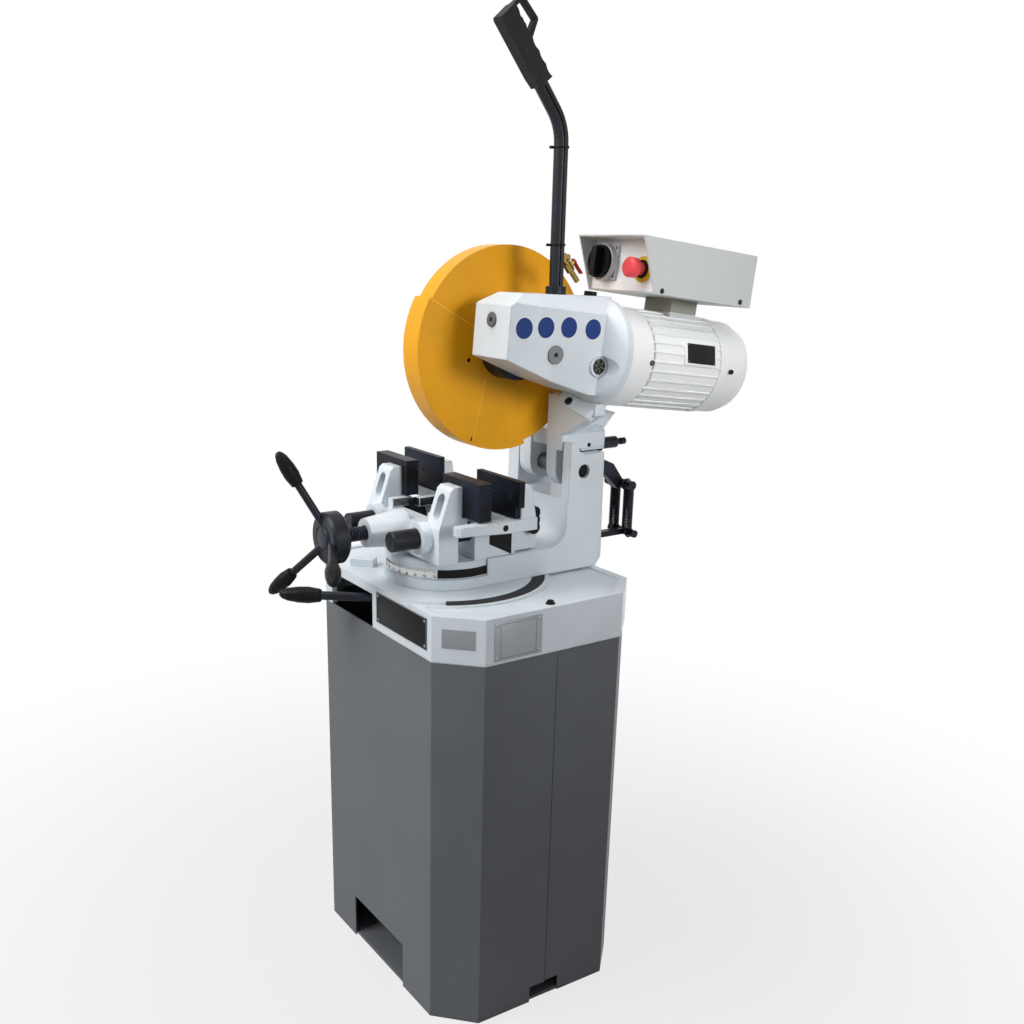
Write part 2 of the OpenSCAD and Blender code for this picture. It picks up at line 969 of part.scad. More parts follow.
module gearbox() {
  slab_share = 0.43;
  flare_shares = [-0.34, 0.46];
  difference() {
    along_x(gear_left, gear_w)
      polygon([for (s = gear_shares) [s[0] * gear_l, s[1] * gear_h]]);
    for (e = [gear_left, gear_right])
      translate([e, 0, gear_top - gear_bevel])
        rotate([0, -45, 0])
          box([0, gear_w], [-gear_l, gear_l], [0, gear_w]);
  }
  intersection() {
    hull() {
      box([gear_left, gear_right], [slab_share * gear_l, slab_share * gear_l + cut],
          [flare_shares[0] * gear_h, flare_shares[1] * gear_h]);
      translate([gear_mid, 0, motor_up])
        rod_y(face_y - flange_t, flange_t, flange_r, $fn = 48);
    }
    box([flange_left, gear_right + flange_r], [-gear_l, face_y], [-gear_l, gear_l]);
  }
}

module neck() {
  shares = [
    [-1, 0.48], [-1, 1], [-0.37, 1], [-0.26, 0.87], [1.18, 0.82], [2.9, 0.70], [1.32, 0.27], [-0.3, 0.27]
  ];
  web_shares = [[0.44, 0.5], [1.07, 0.5], [2.13, 0.82], [2.13, 0.97], [0.44, 1]];
  low_share = 0.27;
  block_share = 0.48;
  slope_share = 0.56;
  web_share = 0.68;
  rise_share = 0.5;
  tie_share = 0.78;
  tie_low_share = 0.29;
  translate([0, pivot_y, pivot_z]) {
    along_x(lug_left, fin_right - lug_left)
      polygon([for (s = shares) [s[0] * lug_r, s[1] * neck_h]]);
    along_y(-lug_r, lug_r + stop_share * lug_r)
      polygon([
        [lug_left, low_share * neck_h], [neck_right, low_share * neck_h],
        [neck_right, block_share * neck_h], [fin_right, slope_share * neck_h],
        [lug_left, slope_share * neck_h]
      ]);
    along_y(-lug_r, web_share * lug_r)
      polygon([for (s = web_shares) [s[0] * neck_right, s[1] * neck_h]]);
    rod_x(lug_left, lug_right - lug_left, lug_r);
    box([lug_left, lug_right], [-lug_r, lug_r], [0, rise_share * neck_h]);
    rod_x(boss_left, boss_right - boss_left, lug_r - sheet);
    box([boss_left, boss_right], [sheet - lug_r, lug_r - sheet], [0, rise_share * neck_h]);
    box([boss_left, lug_left + cut], [-tie_share * lug_r, lug_r - sheet],
        [tie_low_share * neck_h, rise_share * neck_h]);
  }
}

module head_casting() {
  color(white)
    difference() {
      union() {
        head_frame()
          gearbox();
        neck();
      }
      translate([0, pivot_y, pivot_z])
        rod_x(boss_left - cut, lug_right - boss_left + 2 * cut, pivot_r + fit);
      head_frame() {
        rod_x(gear_left - cut, arbor_end - gear_left + cut, bearing_r + seat);
        translate([gear_mid, 0, worm_up])
          rod_y(-gear_l, gear_l + cap_in - cap_share * gear_l, cap_r + seat);
        translate([gear_mid, oil_y, gear_top - 2 * oil_r])
          cylinder(h = gear_h, r = oil_r + seat);
        translate([gear_right, glass_y, glass_z])
          rod_x(0, flange_r, ring_out + clear);
      }
      translate([gear_mid, tube_y, tube_z - collar_in])
        cylinder(h = gear_h, r = collar_r + seat);
    }
}

// stop screw behind the neck
module stop_screw() {
  nut_r = 12;
  nut_l = 36;
  shank_r = 4.5;
  shank_l = 13;
  tip_r = 7;
  tip_l = 12;
  color(black)
    translate([stop_x, pivot_y + stop_share * lug_r, pivot_z + stop_up_share * neck_h]) {
      rod_y(0, nut_l, nut_r);
      rod_y(nut_l - cut, shank_l + 2 * cut, shank_r);
      rod_y(nut_l + shank_l, tip_l, tip_r);
    }
}

module spindle_nose() {
  color(black)
    head_frame()
      difference() {
        rod_x(guard_x, gear_left - guard_x, nose_r);
        rod_x(guard_x - cut, gear_left, arbor_r + clear);
      }
}

module arbor_bearings() {
  color(steel)
    head_frame()
      for (x = [gear_left + clear, arbor_end - bearing_l - clear])
        difference() {
          rod_x(x, bearing_l, bearing_r);
          rod_x(x - cut, bearing_l + 2 * cut, arbor_r + fit);
        }
}

module worm_cap() {
  rim = 3;
  color(steel)
    head_frame()
      translate([gear_mid, 0, worm_up])
        rod_y(-cap_share * gear_l - rim, cap_in + rim, cap_r);
}

module arbor_plug() {
  plug_r = 17;
  plug_t = 3;
  color(steel)
    head_frame()
      rod_x(gear_right, plug_t, plug_r);
}

module sight_glass() {
  glass_r = 13;
  ring_t = 5;
  color(steel)
    head_frame()
      translate([gear_right, glass_y, glass_z])
        difference() {
          rod_x(0, ring_t, ring_out);
          rod_x(ring_t / 2, ring_t, glass_r);
        }
}

module oil_cap() {
  cap_h = 16;
  color(black)
    head_frame()
      translate([gear_mid, oil_y, gear_top - 2 * oil_r])
        cylinder(h = 2 * oil_r + cap_h / 2, r = oil_r);
}

// motor
wall_share = 0.14;
bore_r = 60;
shaft_r = 12;
rotor_r = 56;
fan_r = 74;
fan_t = 20;

module motor_frame() {
  head_frame()
    translate([gear_mid, face_y, motor_up])
      children();
}

module motor_housing() {
  core_r = motor_r - fin_h;
  fin_t = 3.5;
  bell_share = 0.24;
  end_l = wall_share * motor_l;
  color(white)
    motor_frame()
      difference() {
        union() {
          rod_y(0, motor_l, core_r);
          rod_y(0, bell_share * motor_l, motor_r - slip);
          rod_y(motor_l - end_l / 2, end_l / 2, motor_r - slip);
          for (k = [0 : fins - 1])
            rotate([0, k * 360 / fins, 0])
              box([core_r - cut, motor_r - slip], [0, motor_l], [-fin_t / 2, fin_t / 2]);
        }
        rod_y(end_l, motor_l - 2 * end_l, bore_r);
        rod_y(-cut, motor_l + 2 * cut, shaft_r + fit);
      }
}

module fan_cover() {
  skin = 2;
  shares = [[0.97, 0], [0.97, 0.6], [0.9, 0.84], [0.76, 0.97], [0.6, 1], [0, 1]];
  in_r = motor_r - fin_h - seat;
  color(white)
    motor_frame()
      translate([0, motor_l, 0])
        difference() {
          rotate([-90, 0, 0])
            rotate_extrude()
              polygon(concat([[0, 0]], [for (s = shares) [s[0] * motor_r, s[1] * cover_l]]));
          rotate([-90, 0, 0])
            translate([0, 0, -cut])
              rotate_extrude()
                polygon(concat(
                  [[0, 0]],
                  [for (s = shares) [max(s[0] * motor_r - skin, 0), s[1] * (cover_l - skin + cut)]]
                ));
          for (ring = [0.2, 0.38, 0.56], k = [0 : 11])
            rotate([0, k * 30, 0])
              translate([ring * motor_r, 0, 0])
                rod_y(0, cover_l + cut, skin * (1.2 + 3 * ring));
        }
}

module motor_rotor() {
  end_l = wall_share * motor_l;
  core_in = 6;
  blade_n = 8;
  blade_out_share = 0.94;
  color(steel)
    motor_frame() {
      rod_y(0, motor_l + cover_l / 2, shaft_r);
      rod_y(end_l + core_in, motor_l - 2 * end_l - 2 * core_in, rotor_r);
      translate([0, motor_l + core_in, 0]) {
        rod_y(0, fan_t / 4, fan_r);
        for (k = [0 : blade_n - 1])
          rotate([0, k * 360 / blade_n, 0])
            box([0, blade_out_share * fan_r], [fan_t / 8, fan_t], [-fan_t / 10, fan_t / 10]);
      }
    }
}

// control box, in the head frame
box_left = gear_mid - box_w / 2;
box_right = box_left + box_w;
box_z = 130;
hood_y = 135;
panel_y = 182;
panel_t = 3;

module control_box() {
  foot_w = 76;
  foot_y = 281;
  foot_l = 67;
  hood_in = panel_y - hood_y - panel_t;
  top_z = box_z + box_h;
  back = hood_y + box_l;
  color([0.78, 0.79, 0.79])
    head_frame()
      difference() {
        union() {
          along_x(box_left, box_w)
            polygon([
              [hood_y, top_z], [back, top_z], [back + box_t, box_z], [hood_y + hood_in, box_z]
            ]);
          box([gear_mid - foot_w / 2, gear_mid + foot_w / 2], [foot_y, foot_y + foot_l], [motor_up, box_z]);
        }
        along_x(box_left + box_t, box_w - 2 * box_t)
          polygon([
            [hood_y - box_t - cut, top_z - box_t], [back - box_t, top_z - box_t],
            [back, box_z + box_t], [hood_y, box_z + box_t]
          ]);
        translate([gear_mid, 0, motor_up])
          rod_y(0, back, motor_r);
      }
}

module control_panel() {
  color([0.9, 0.9, 0.88])
    head_frame()
      box([box_left + box_t, box_right - box_t], [panel_y, panel_y + panel_t],
          [box_z + box_t, box_z + box_h - box_t]);
}

switch_x = 76;
switch_z = 183;
switch_w = 64;
switch_t = 6;
knob_disc_r = 31;
knob_disc_l = 20;
estop_x = 182;
estop_z = 173;
estop_r = 18.5;
estop_t = 5;
estop_l = 38;
estop_stem_r = 12;

module switch_plate() {
  color(steel)
    head_frame()
      box([switch_x - switch_w / 2, switch_x + switch_w / 2], [panel_y - switch_t, panel_y],
          [switch_z - switch_w / 2, switch_z + switch_w / 2]);
}

module switch_knob() {
  bar_w = 14;
  bar_l = 54;
  bar_t = 13;
  rim_t = 4;
  color(black)
    head_frame()
      translate([switch_x, panel_y - switch_t - slip, switch_z])
        difference() {
          union() {
            rod_y(-knob_disc_l, knob_disc_l, knob_disc_r);
            box([-bar_w / 2, bar_w / 2], [-knob_disc_l - bar_t, -cut], [-bar_l / 2, bar_l / 2]);
          }
          difference() {
            rod_y(-knob_disc_l - cut, bar_t / 2 + cut, knob_disc_r - rim_t);
            box([-bar_w / 2, bar_w / 2], [-2 * knob_disc_l, 0], [-bar_l / 2, bar_l / 2]);
          }
        }
}

module estop_ring() {
  color([0.93, 0.75, 0.08])
    head_frame()
      translate([estop_x, panel_y - estop_t, estop_z])
        difference() {
          rod_y(0, estop_t, estop_r + estop_t);
          rod_y(-cut, estop_t + 2 * cut, estop_stem_r + fit);
        }
}

module estop_button() {
  head_share = 0.5;
  dome = 5;
  color([0.85, 0.13, 0.16])
    head_frame()
      translate([estop_x, panel_y - estop_t, estop_z]) {
        rod_y(-estop_l * head_share, estop_l * head_share, estop_stem_r);
        rod_y(-estop_l + dome, estop_l * head_share - dome, estop_r);
        rod_y(-estop_l, dome, estop_r - dome, estop_r);
      }
}

// handle
module handle_collar() {
  lip = 4;
  color(black)
    translate([gear_mid, tube_y, tube_z - collar_in])
      difference() {
        cylinder(h = collar_in, r = collar_r);
        translate([0, 0, lip])
          cylinder(h = collar_in, r = tube_r + seat);
      }
}

bend_y = tube_y;
bend_z = tube_z + tube_h;
bend_end_y = bend_y - bend_r * (1 - cos(bend_a));
bend_end_z = bend_z + bend_r * sin(bend_a);
grip_y = bend_end_y - tube_tail * sin(bend_a);
grip_z = bend_end_z + tube_tail * cos(bend_a);

module handle_tube() {
  lip = 4;
  color(black)
    translate([gear_mid, 0, 0]) {
      translate([0, tube_y, tube_z - collar_in + lip])
        cylinder(h = tube_h + collar_in - lip, r = tube_r);
      translate([0, bend_y - bend_r, bend_z])
        rotate([90, 0, 90])
          rotate_extrude(angle = bend_a)
            translate([bend_r, 0])
              circle(r = tube_r);
      translate([0, bend_end_y, bend_end_z])
        rotate([bend_a, 0, 0])
          cylinder(h = tube_tail + grip_in, r = tube_r);
    }
}

// grip frame: +Z up the grip, -Y towards the operator's side of it
module grip_frame() {
  translate([gear_mid, grip_y, grip_z])
    rotate([bend_a, 0, 0])
      children();
}

ridges = 5;
rear_share = 0.35;
ridge_h = 2.5;
trig_shares = [0.65, 0.86];
trig_z0 = trig_shares[0] * grip_l;
trig_z1 = trig_shares[1] * grip_l;
pin_r = 3;
pin_l = 17;
trig_w = 10;
trig_out = 9;
grip_in = 22;
trig_in = 12;
trig_play = 3;
loop_t = 8;
loop_w = 14;

module handle_grip() {
  rear = rear_share * grip_d;
  low_shares = [[-0.24, 0], [-0.29, 0.15], [-0.32, 0.95], [-0.28, 0.985]];
  loop_shares = [[0.33, 1], [0.78, 1], [0.84, 0.97], [0.93, 0.67], [0.9, 0.64], [0.33, 0.5]];
  loop_in_shares = [[0.3, 0.95], [0.73, 0.945], [0.81, 0.675], [0.3, 0.575]];
  color(black)
    grip_frame() {
      difference() {
        along_x(-grip_w / 2, grip_w)
          polygon(concat(
            [for (s = low_shares) [s[0] * grip_d, s[1] * grip_l]],
            [[rear, grip_l]],
            [for (k = [8 * ridges : -1 : 0])
              [rear - ridge_h * abs(sin(k * 22.5)), 0.9 * grip_l * k / (8 * ridges)]]
          ));
        box([-trig_w / 2 - slip, trig_w / 2 + slip], [rear - trig_in - slip, rear + cut],
            [trig_z0 - slip, trig_z1 + slip]);
        translate([0, 0, -grip_in])
          cylinder(h = 2 * grip_in, r = tube_r + seat);
        translate([0, rear - trig_in, trig_z1])
          rod_x(-pin_l / 2 - slip, pin_l + 2 * slip, pin_r + fit);
      }
      along_x(-loop_w / 2, loop_w)
        difference() {
          polygon([for (s = loop_shares) [s[0] * grip_d, s[1] * grip_l]]);
          polygon([for (s = loop_in_shares) [s[0] * grip_d, s[1] * grip_l]]);
        }
    }
}

module trigger() {
  trig_out_shares = [0.7, 0.6];
  rear = rear_share * grip_d;
  color(black)
    grip_frame() {
      along_x(-trig_w / 2, trig_w)
        polygon([
          [rear - trig_in + trig_out_shares[0] * trig_out, trig_z0 + trig_play],
          [rear + trig_out / 2, trig_z0 + trig_play],
          [rear + trig_out_shares[1] * trig_out, trig_z1 - trig_out], [rear - clear, trig_z1],
          [rear - trig_in, trig_z1]
        ]);
      translate([0, rear - trig_in, trig_z1])
        rod_x(-pin_l / 2, pin_l, pin_r);
    }
}

cable_r = 3;
cable_off = tube_r + cable_r + slip;
cable_step = 4.7;
cable_path = concat(
  [[tube_y, tube_z], [tube_y, bend_z]],
  [for (a = [cable_step : cable_step : bend_a])
    [bend_y - bend_r * (1 - cos(a)), bend_z + bend_r * sin(a)]],
  [[grip_y + clear * sin(bend_a), grip_z - clear * cos(bend_a)]]
);
cable_sides = 8;

function cable_ring(i) =
  let (
    p = cable_path[i],
    a = cable_path[max(i - 1, 0)],
    b = cable_path[min(i + 1, len(cable_path) - 1)],
    d = (b - a) / norm(b - a)
  )
  [for (k = [0 : cable_sides - 1])
    let (c = cable_r * cos(360 * k / cable_sides), s = cable_r * sin(360 * k / cable_sides))
    [gear_mid + cable_off + c, p[0] - s * d[1], p[1] + s * d[0]]];

module trigger_cable() {
  color(black)
    polyhedron([for (i = [0 : len(cable_path) - 1]) each cable_ring(i)],
               tube_faces(len(cable_path), cable_sides));
}

// coolant valve beside the handle
valve_up = 169;
valve_y = tube_y + tube_r;
valve_z = arbor_z + valve_up;
valve_l = 56;
valve_r = 8;
valve_lean = 220.3;
nipple_r = 5;
lever_off = 14;
stem_z = 18;

module valve_frame() {
  translate([gear_mid, valve_y, valve_z])
    rotate([valve_lean, 0, 0])
      children();
}

module valve_body() {
  flat_l = 18;
  flat_z = 14;
  saddle_t = 4;
  saddle_h = 16;
  boss_l = 12;
  start = 8;
  color([0.72, 0.58, 0.30])
    union() {
      valve_frame() {
        translate([0, 0, start])
          cylinder(h = valve_l - start, r = nipple_r);
        translate([0, 0, flat_z])
          cylinder(h = flat_l, r = valve_r, $fn = 6);
        translate([0, 0, stem_z + nipple_r])
          rod_y(slip - lever_off, lever_off - slip, nipple_r);
      }
      translate([gear_mid, tube_y, valve_z]) {
        rod_y(tube_r + saddle_t / 2, boss_l, nipple_r + clear / 2);
        intersection() {
          translate([0, 0, -saddle_h / 2])
            difference() {
              cylinder(h = saddle_h, r = tube_r + saddle_t);
              translate([0, 0, -cut])
                cylinder(h = saddle_h + 2 * cut, r = tube_r + seat);
            }
          box([-tube_r, tube_r], [tube_r / 2, 2 * tube_r], [-saddle_h, saddle_h]);
        }
      }
    }
}

module valve_lever() {
  lever_l = 28;
  lever_w = 9;
  lever_t = 3;
  hub_share = 0.7;
  color([0.75, 0.12, 0.12])
    valve_frame()
      translate([0, -lever_off, stem_z + nipple_r]) {
        rod_y(-lever_t, lever_t, lever_w * hub_share);
        box([-lever_w / 2, lever_w / 2], [-lever_t, 0], [0, lever_l]);
      }
}

// guards and blade
guard_from = -80;
guard_sweep = 230;
mguard_from = 150;
mguard_sweep = 135;
hub_ring = 10;
hub_ring_l = 6;

module about_arbor(from, sweep) {
  translate([0, arbor_y, arbor_z])
    rotate([90, 0, 90])
      rotate([0, 0, from])
        rotate_extrude(angle = sweep)
          children();
}

module fixed_guard() {
  in_r = arbor_r + clear;
  color(amber)
    about_arbor(guard_from, guard_sweep)
      polygon([
        [in_r, guard_x - guard_t], [in_r, guard_x], [guard_r, guard_x], [guard_r, -guard_x],
        [nose_r, -guard_x], [nose_r, -guard_x - hub_ring_l], [nose_r - hub_ring, -guard_x - hub_ring_l],
        [nose_r - hub_ring, guard_t - guard_x], [guard_r - guard_t, guard_t - guard_x],
        [guard_r - guard_t, guard_x - guard_t]
      ]);
}

module moving_guard() {
  hole_r = 4;
  hole_at = 87;
  hole_a = 193;
  color(amber)
    difference() {
      about_arbor(mguard_from, mguard_sweep)
        polygon([
          [nose_r + slip, mguard_x - guard_t], [nose_r + slip, mguard_x], [mguard_r, mguard_x],
          [mguard_r, -mguard_x], [nose_r + slip, -mguard_x], [nose_r + slip, guard_t - mguard_x],
          [mguard_r - guard_t, guard_t - mguard_x], [mguard_r - guard_t, mguard_x - guard_t]
        ]);
      translate([0, arbor_y + hole_at * cos(hole_a), arbor_z + hole_at * sin(hole_a)])
        rod_x(0, mguard_x + cut, hole_r);
    }
}

seat_r = 16;
flange_disc_r = 42;
flange_disc_t = 11;

module arbor() {
  color(steel)
    head_frame() {
      rod_x(blade_t / 2, flange_disc_t, flange_disc_r);
      rod_x(blade_t / 2, arbor_end - clear, arbor_r);
      rod_x(-blade_t / 2 - flange_disc_t, 2 * flange_disc_t, seat_r);
    }
}

module saw_blade() {
  gullet = 5;
  tooth = 360 / teeth;
  drive_pcd = 50;
  drive_r = 4;
  color(steel)
    head_frame()
      along_x(-blade_t / 2, blade_t)
        difference() {
          polygon([
            for (k = [0 : teeth - 1], s = [[0, 1], [0.35, 0], [0.75, 0.35]])
              let (r = blade_r - gullet * (1 - s[1]), a = tooth * (k + s[0])) [r * cos(a), r * sin(a)]
          ]);
          circle(r = seat_r + seat);
          for (k = [0 : 1])
            rotate(k * 180)
              translate([drive_pcd / 2 + drive_r, 0])
                circle(r = drive_r);
        }
}

module blade_flange() {
  nut_h = 7;
  color(steel)
    head_frame() {
      difference() {
        rod_x(-blade_t / 2 - flange_disc_t, flange_disc_t, flange_disc_r);
        rod_x(-blade_t / 2 - flange_disc_t - cut, flange_disc_t + 2 * cut, seat_r + seat);
      }
      translate([-blade_t / 2 - flange_disc_t - nut_h, 0, 0])
        rotate([0, 90, 0])
          cylinder(h = nut_h, r = seat_r + clear, $fn = 6);
    }
}

stand_front();
stand_rear();
floor_plate();
coolant_tank();
coolant_pump();
drip_tray();
tray_pad();
clamp_stud();
mitre_lever();
lever_grip();
turntable_spigot();
mitre_scale();
vise_bed();
rear_jaw_plates();
guide_bars();
jaw_knob();
moving_jaw();
vise_nut();
front_jaw_plates();
vise_screw();
handwheel();
handwheel_grips();
swing_arm();
pivot_shaft();
lower_spring_bracket();
return_springs();
head_casting();
stop_screw();
spindle_nose();
arbor_bearings();
worm_cap();
arbor_plug();
sight_glass();
oil_cap();
motor_housing();
fan_cover();
motor_rotor();
control_box();
control_panel();
switch_plate();
switch_knob();
estop_ring();
estop_button();
handle_collar();
handle_tube();
handle_grip();
trigger();
trigger_cable();
valve_body();
valve_lever();
upper_spring_bracket();
fixed_guard();
moving_guard();
arbor();
saw_blade();
blade_flange();
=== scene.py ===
"""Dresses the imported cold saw: finishes, plates, screws, thread, scale and stage."""

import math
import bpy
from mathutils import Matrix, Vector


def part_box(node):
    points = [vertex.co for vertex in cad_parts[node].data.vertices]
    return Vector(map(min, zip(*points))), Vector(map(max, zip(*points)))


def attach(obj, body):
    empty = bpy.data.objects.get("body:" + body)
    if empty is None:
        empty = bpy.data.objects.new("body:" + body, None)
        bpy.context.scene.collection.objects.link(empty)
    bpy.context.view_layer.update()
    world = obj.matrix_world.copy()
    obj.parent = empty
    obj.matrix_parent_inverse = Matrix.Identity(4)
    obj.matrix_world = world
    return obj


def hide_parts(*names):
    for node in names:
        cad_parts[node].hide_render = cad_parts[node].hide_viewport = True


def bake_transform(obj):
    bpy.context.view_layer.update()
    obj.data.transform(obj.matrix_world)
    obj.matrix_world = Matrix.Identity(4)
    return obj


bl_info = {
    "name": "Cold Saw Dressing",
    "version": (1, 0, 0),
    "blender": (4, 5, 0),
    "location": "View3D > Sidebar > Cold Saw",
    "description": "Finishes and small parts of a floor-standing cold saw",
    "category": "Object",
}

import bmesh
import bpy
from mathutils import Matrix, Vector

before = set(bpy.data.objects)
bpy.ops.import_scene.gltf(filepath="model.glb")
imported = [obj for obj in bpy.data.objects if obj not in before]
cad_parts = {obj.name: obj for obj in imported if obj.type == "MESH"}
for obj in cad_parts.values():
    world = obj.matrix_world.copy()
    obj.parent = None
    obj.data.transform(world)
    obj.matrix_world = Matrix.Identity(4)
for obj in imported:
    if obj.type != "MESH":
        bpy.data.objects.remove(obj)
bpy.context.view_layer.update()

# Places are in metres, with x to the right, y to the back and z up.
TURN = math.tau
FRONT = (0, -1, 0)
BACK = (0, 1, 0)
RIGHT = (1, 0, 0)
LEFT = (-1, 0, 0)

# Stands a flat drawing up to face right: its x runs to the back and its y runs up.
UPRIGHT = Matrix(((0, 0, 1, 0), (1, 0, 0, 0), (0, 1, 0, 0), (0, 0, 0, 1)))

# Places on the head are measured from the blade's centre, along its tipped axes.
HEAD_TIP = math.radians(7.5)
ARBOR = Vector((0.0, 0.052, 1.298))
HEAD = Matrix.Translation(ARBOR) @ Matrix.Rotation(-HEAD_TIP, 4, "X")
GEAR_MID = 0.1275
SWITCH = Vector((0.076, 0.176, 0.183))
STOP_BUTTON = Vector((0.182, 0.177, 0.173))

# Places on the grip are measured from its lower end, along its slanted axes.
GRIP_SLANT = math.radians(37.6)
GRIP = Matrix.Translation((GEAR_MID, 0.0418, 1.7555)) @ Matrix.Rotation(GRIP_SLANT, 4, "X")

TURNTABLE = Vector((0.0, -0.072, 0.0))
SPRING_PLACES = (0.033, 0.075)
BLACK = (0.0, 0.0, 0.0, 1.0)
FINISHES = {}


def shade(red, green, blue):
    """Linear colour from the 0 to 255 values of a colour chart."""
    def channel(value):
        value /= 255.0
        return value / 12.92 if value <= 0.04045 else ((value + 0.055) / 1.055) ** 2.4

    return (channel(red), channel(green), channel(blue), 1.0)


def mixed(a, b, part):
    """Colour part of the way from a to b."""
    return tuple(x + (y - x) * part for x, y in zip(a, b))


class Value:
    """A shader socket that takes part in Python sums."""

    def __init__(self, finish, socket):
        self.finish = finish
        self.socket = socket

    def maths(self, operation, *operands):
        """The result of a Math node on the operands."""
        return self.finish.node(
            "ShaderNodeMath", {"operation": operation}, dict(enumerate(operands))
        )

    def __add__(self, other):
        return self.maths("ADD", self, other)

    def __radd__(self, other):
        return self.maths("ADD", other, self)

    def __sub__(self, other):
        return self.maths("SUBTRACT", self, other)

    def __rsub__(self, other):
        return self.maths("SUBTRACT", other, self)

    def __mul__(self, other):
        return self.maths("MULTIPLY", self, other)

    def __rmul__(self, other):
        return self.maths("MULTIPLY", other, self)

    def above(self, limit, width):
        """0 below the limit, 1 above it, with a soft step of the given width."""
        return self.finish.node(
            "ShaderNodeMapRange",
            {"interpolation_type": "SMOOTHSTEP"},
            {"Value": self, "From Min": limit, "From Max": limit + width},
        )


class Shading:
    """Adds nodes to the tree of a material or world."""

    def __init__(self, holder):
        holder.use_nodes = True
        self.tree = holder.node_tree

    def node(self, kind, settings=None, inputs=None, output=0):
        """Makes a node, sets it up, feeds its inputs and returns one of its outputs."""
        made = self.tree.nodes.new(kind)
        for key, value in (settings or {}).items():
            setattr(made, key, value)
        for key, value in (inputs or {}).items():
            self.feed(made.inputs[key], value)
        return Value(self, made.outputs[output])

    def feed(self, socket, value):
        """Links a Value to a socket, or puts a constant on it."""
        if isinstance(value, Value):
            self.tree.links.new(value.socket, socket)
        else:
            socket.default_value = value

    def seen(self):
        """1 for what the camera sees, also in a mirror or through glass."""
        rays = [
            self.node("ShaderNodeLightPath", output=ray)
            for ray in ("Is Camera Ray", "Is Glossy Ray", "Is Transmission Ray")
        ]
        return rays[0].maths("MAXIMUM", rays[0], rays[1].maths("MAXIMUM", rays[1], rays[2]))


class Finish(Shading):
    """One procedural material on Object coordinates."""

    def __init__(self, name, metallic=0.0, gloss=0.5):
        self.material = bpy.data.materials.new(name)
        super().__init__(self.material)
        self.shader = self.tree.nodes["Principled BSDF"]
        self.shader.inputs["Metallic"].default_value = metallic
        self.shader.inputs["Specular IOR Level"].default_value = gloss
        self.place = self.node("ShaderNodeTexCoord", output="Object")
        FINISHES[name] = self

    def set(self, **values):
        """Feeds inputs of the shader, with _ for each space in their names."""
        for key, value in values.items():
            self.feed(self.shader.inputs[key.replace("_", " ")], value)
        return self

    def noise(self, scale, detail=2.0, rough=0.5, stretch=None):
        """Noise from 0 to 1, finer along an axis that has a larger stretch."""
        place = self.place
        if stretch:
            place = self.node("ShaderNodeMapping", {}, {"Vector": place, "Scale": stretch})
        return self.node(
            "ShaderNodeTexNoise",
            {},
            {"Vector": place, "Scale": scale, "Detail": detail, "Roughness": rough},
        )

    def blend(self, part, first, second):
        """Colour part of the way from the first to the second."""
        return self.node(
            "ShaderNodeMix", {"data_type": "RGBA"}, {0: part, 6: first, 7: second}, 2
        )

    def soft_edges(self, radius):
        """Normal that rounds the edges."""
        return self.node("ShaderNodeBevel", {"samples": 4}, {"Radius": radius})

    def edge_mask(self, rounded):
        """1 along the rounded edges, 0 on flat faces."""
        facing = self.node("ShaderNodeNewGeometry", output="Normal")
        turn = self.node(
            "ShaderNodeVectorMath",
            {"operation": "DOT_PRODUCT"},
            {0: rounded, 1: facing},
            "Value",
        )
        return (1.0 - turn).above(0.015, 0.12)

    def relief(self, height, depth, strength, rounded):
        """Bump on top of the rounded normal."""
        return self.node(
            "ShaderNodeBump",
            {},
            {"Strength": strength, "Distance": depth, "Height": height, "Normal": rounded},
        )


def enamel(name, colour, rough=0.36, grain=420.0, peel=0.25, drift=0.1, radius=0.002,
           chip=None, coat=0.15, gloss=0.5):
    """Sprayed paint: slow colour drift, specks, orange peel and worn edges."""
    paint = Finish(name, gloss=gloss)
    rounded = paint.soft_edges(radius)
    slow = paint.noise(5.0, 3.0, 0.55)
    fine = paint.noise(grain, 2.0, 0.6)
    tone = paint.blend(slow.above(0.3, 0.4), mixed(colour, BLACK, drift), colour)
    speck = paint.noise(60.0, 4.0, 0.7).above(0.67, 0.05) * 0.25
    tone = paint.blend(speck, tone, mixed(colour, (0.02, 0.02, 0.02, 1), 0.35))
    if chip:
        worn = paint.edge_mask(rounded) * paint.noise(140.0, 4.0, 0.7).above(0.52, 0.14)
        tone = paint.blend(worn * 0.75, tone, chip)
    paint.set(
        Base_Color=tone,
        Roughness=rough + (slow - 0.5) * 0.16 + (fine - 0.5) * 0.10,
        Coat_Weight=coat,
        Normal=paint.relief(fine, 0.0006, peel, rounded),
    )
    return paint


def bare_metal(name, colour, rough=0.32, stretch=(900.0, 40.0, 900.0), drift=0.2, radius=0.0008):
    """Ground or drawn metal with fine lines along one axis."""
    metal = Finish(name, metallic=1.0)
    rounded = metal.soft_edges(radius)
    lines = metal.noise(1.0, 2.0, 0.6, stretch)
    cloud = metal.noise(26.0, 4.0, 0.6)
    tone = metal.blend(cloud, mixed(colour, BLACK, drift), colour)
    metal.set(
        Base_Color=metal.blend(lines * 0.35, tone, mixed(colour, BLACK, 0.35)),
        Roughness=rough + (cloud - 0.5) * 0.2 + (lines - 0.5) * 0.12,
        Normal=metal.relief(lines, 0.0002, 0.15, rounded),
    )
    return metal


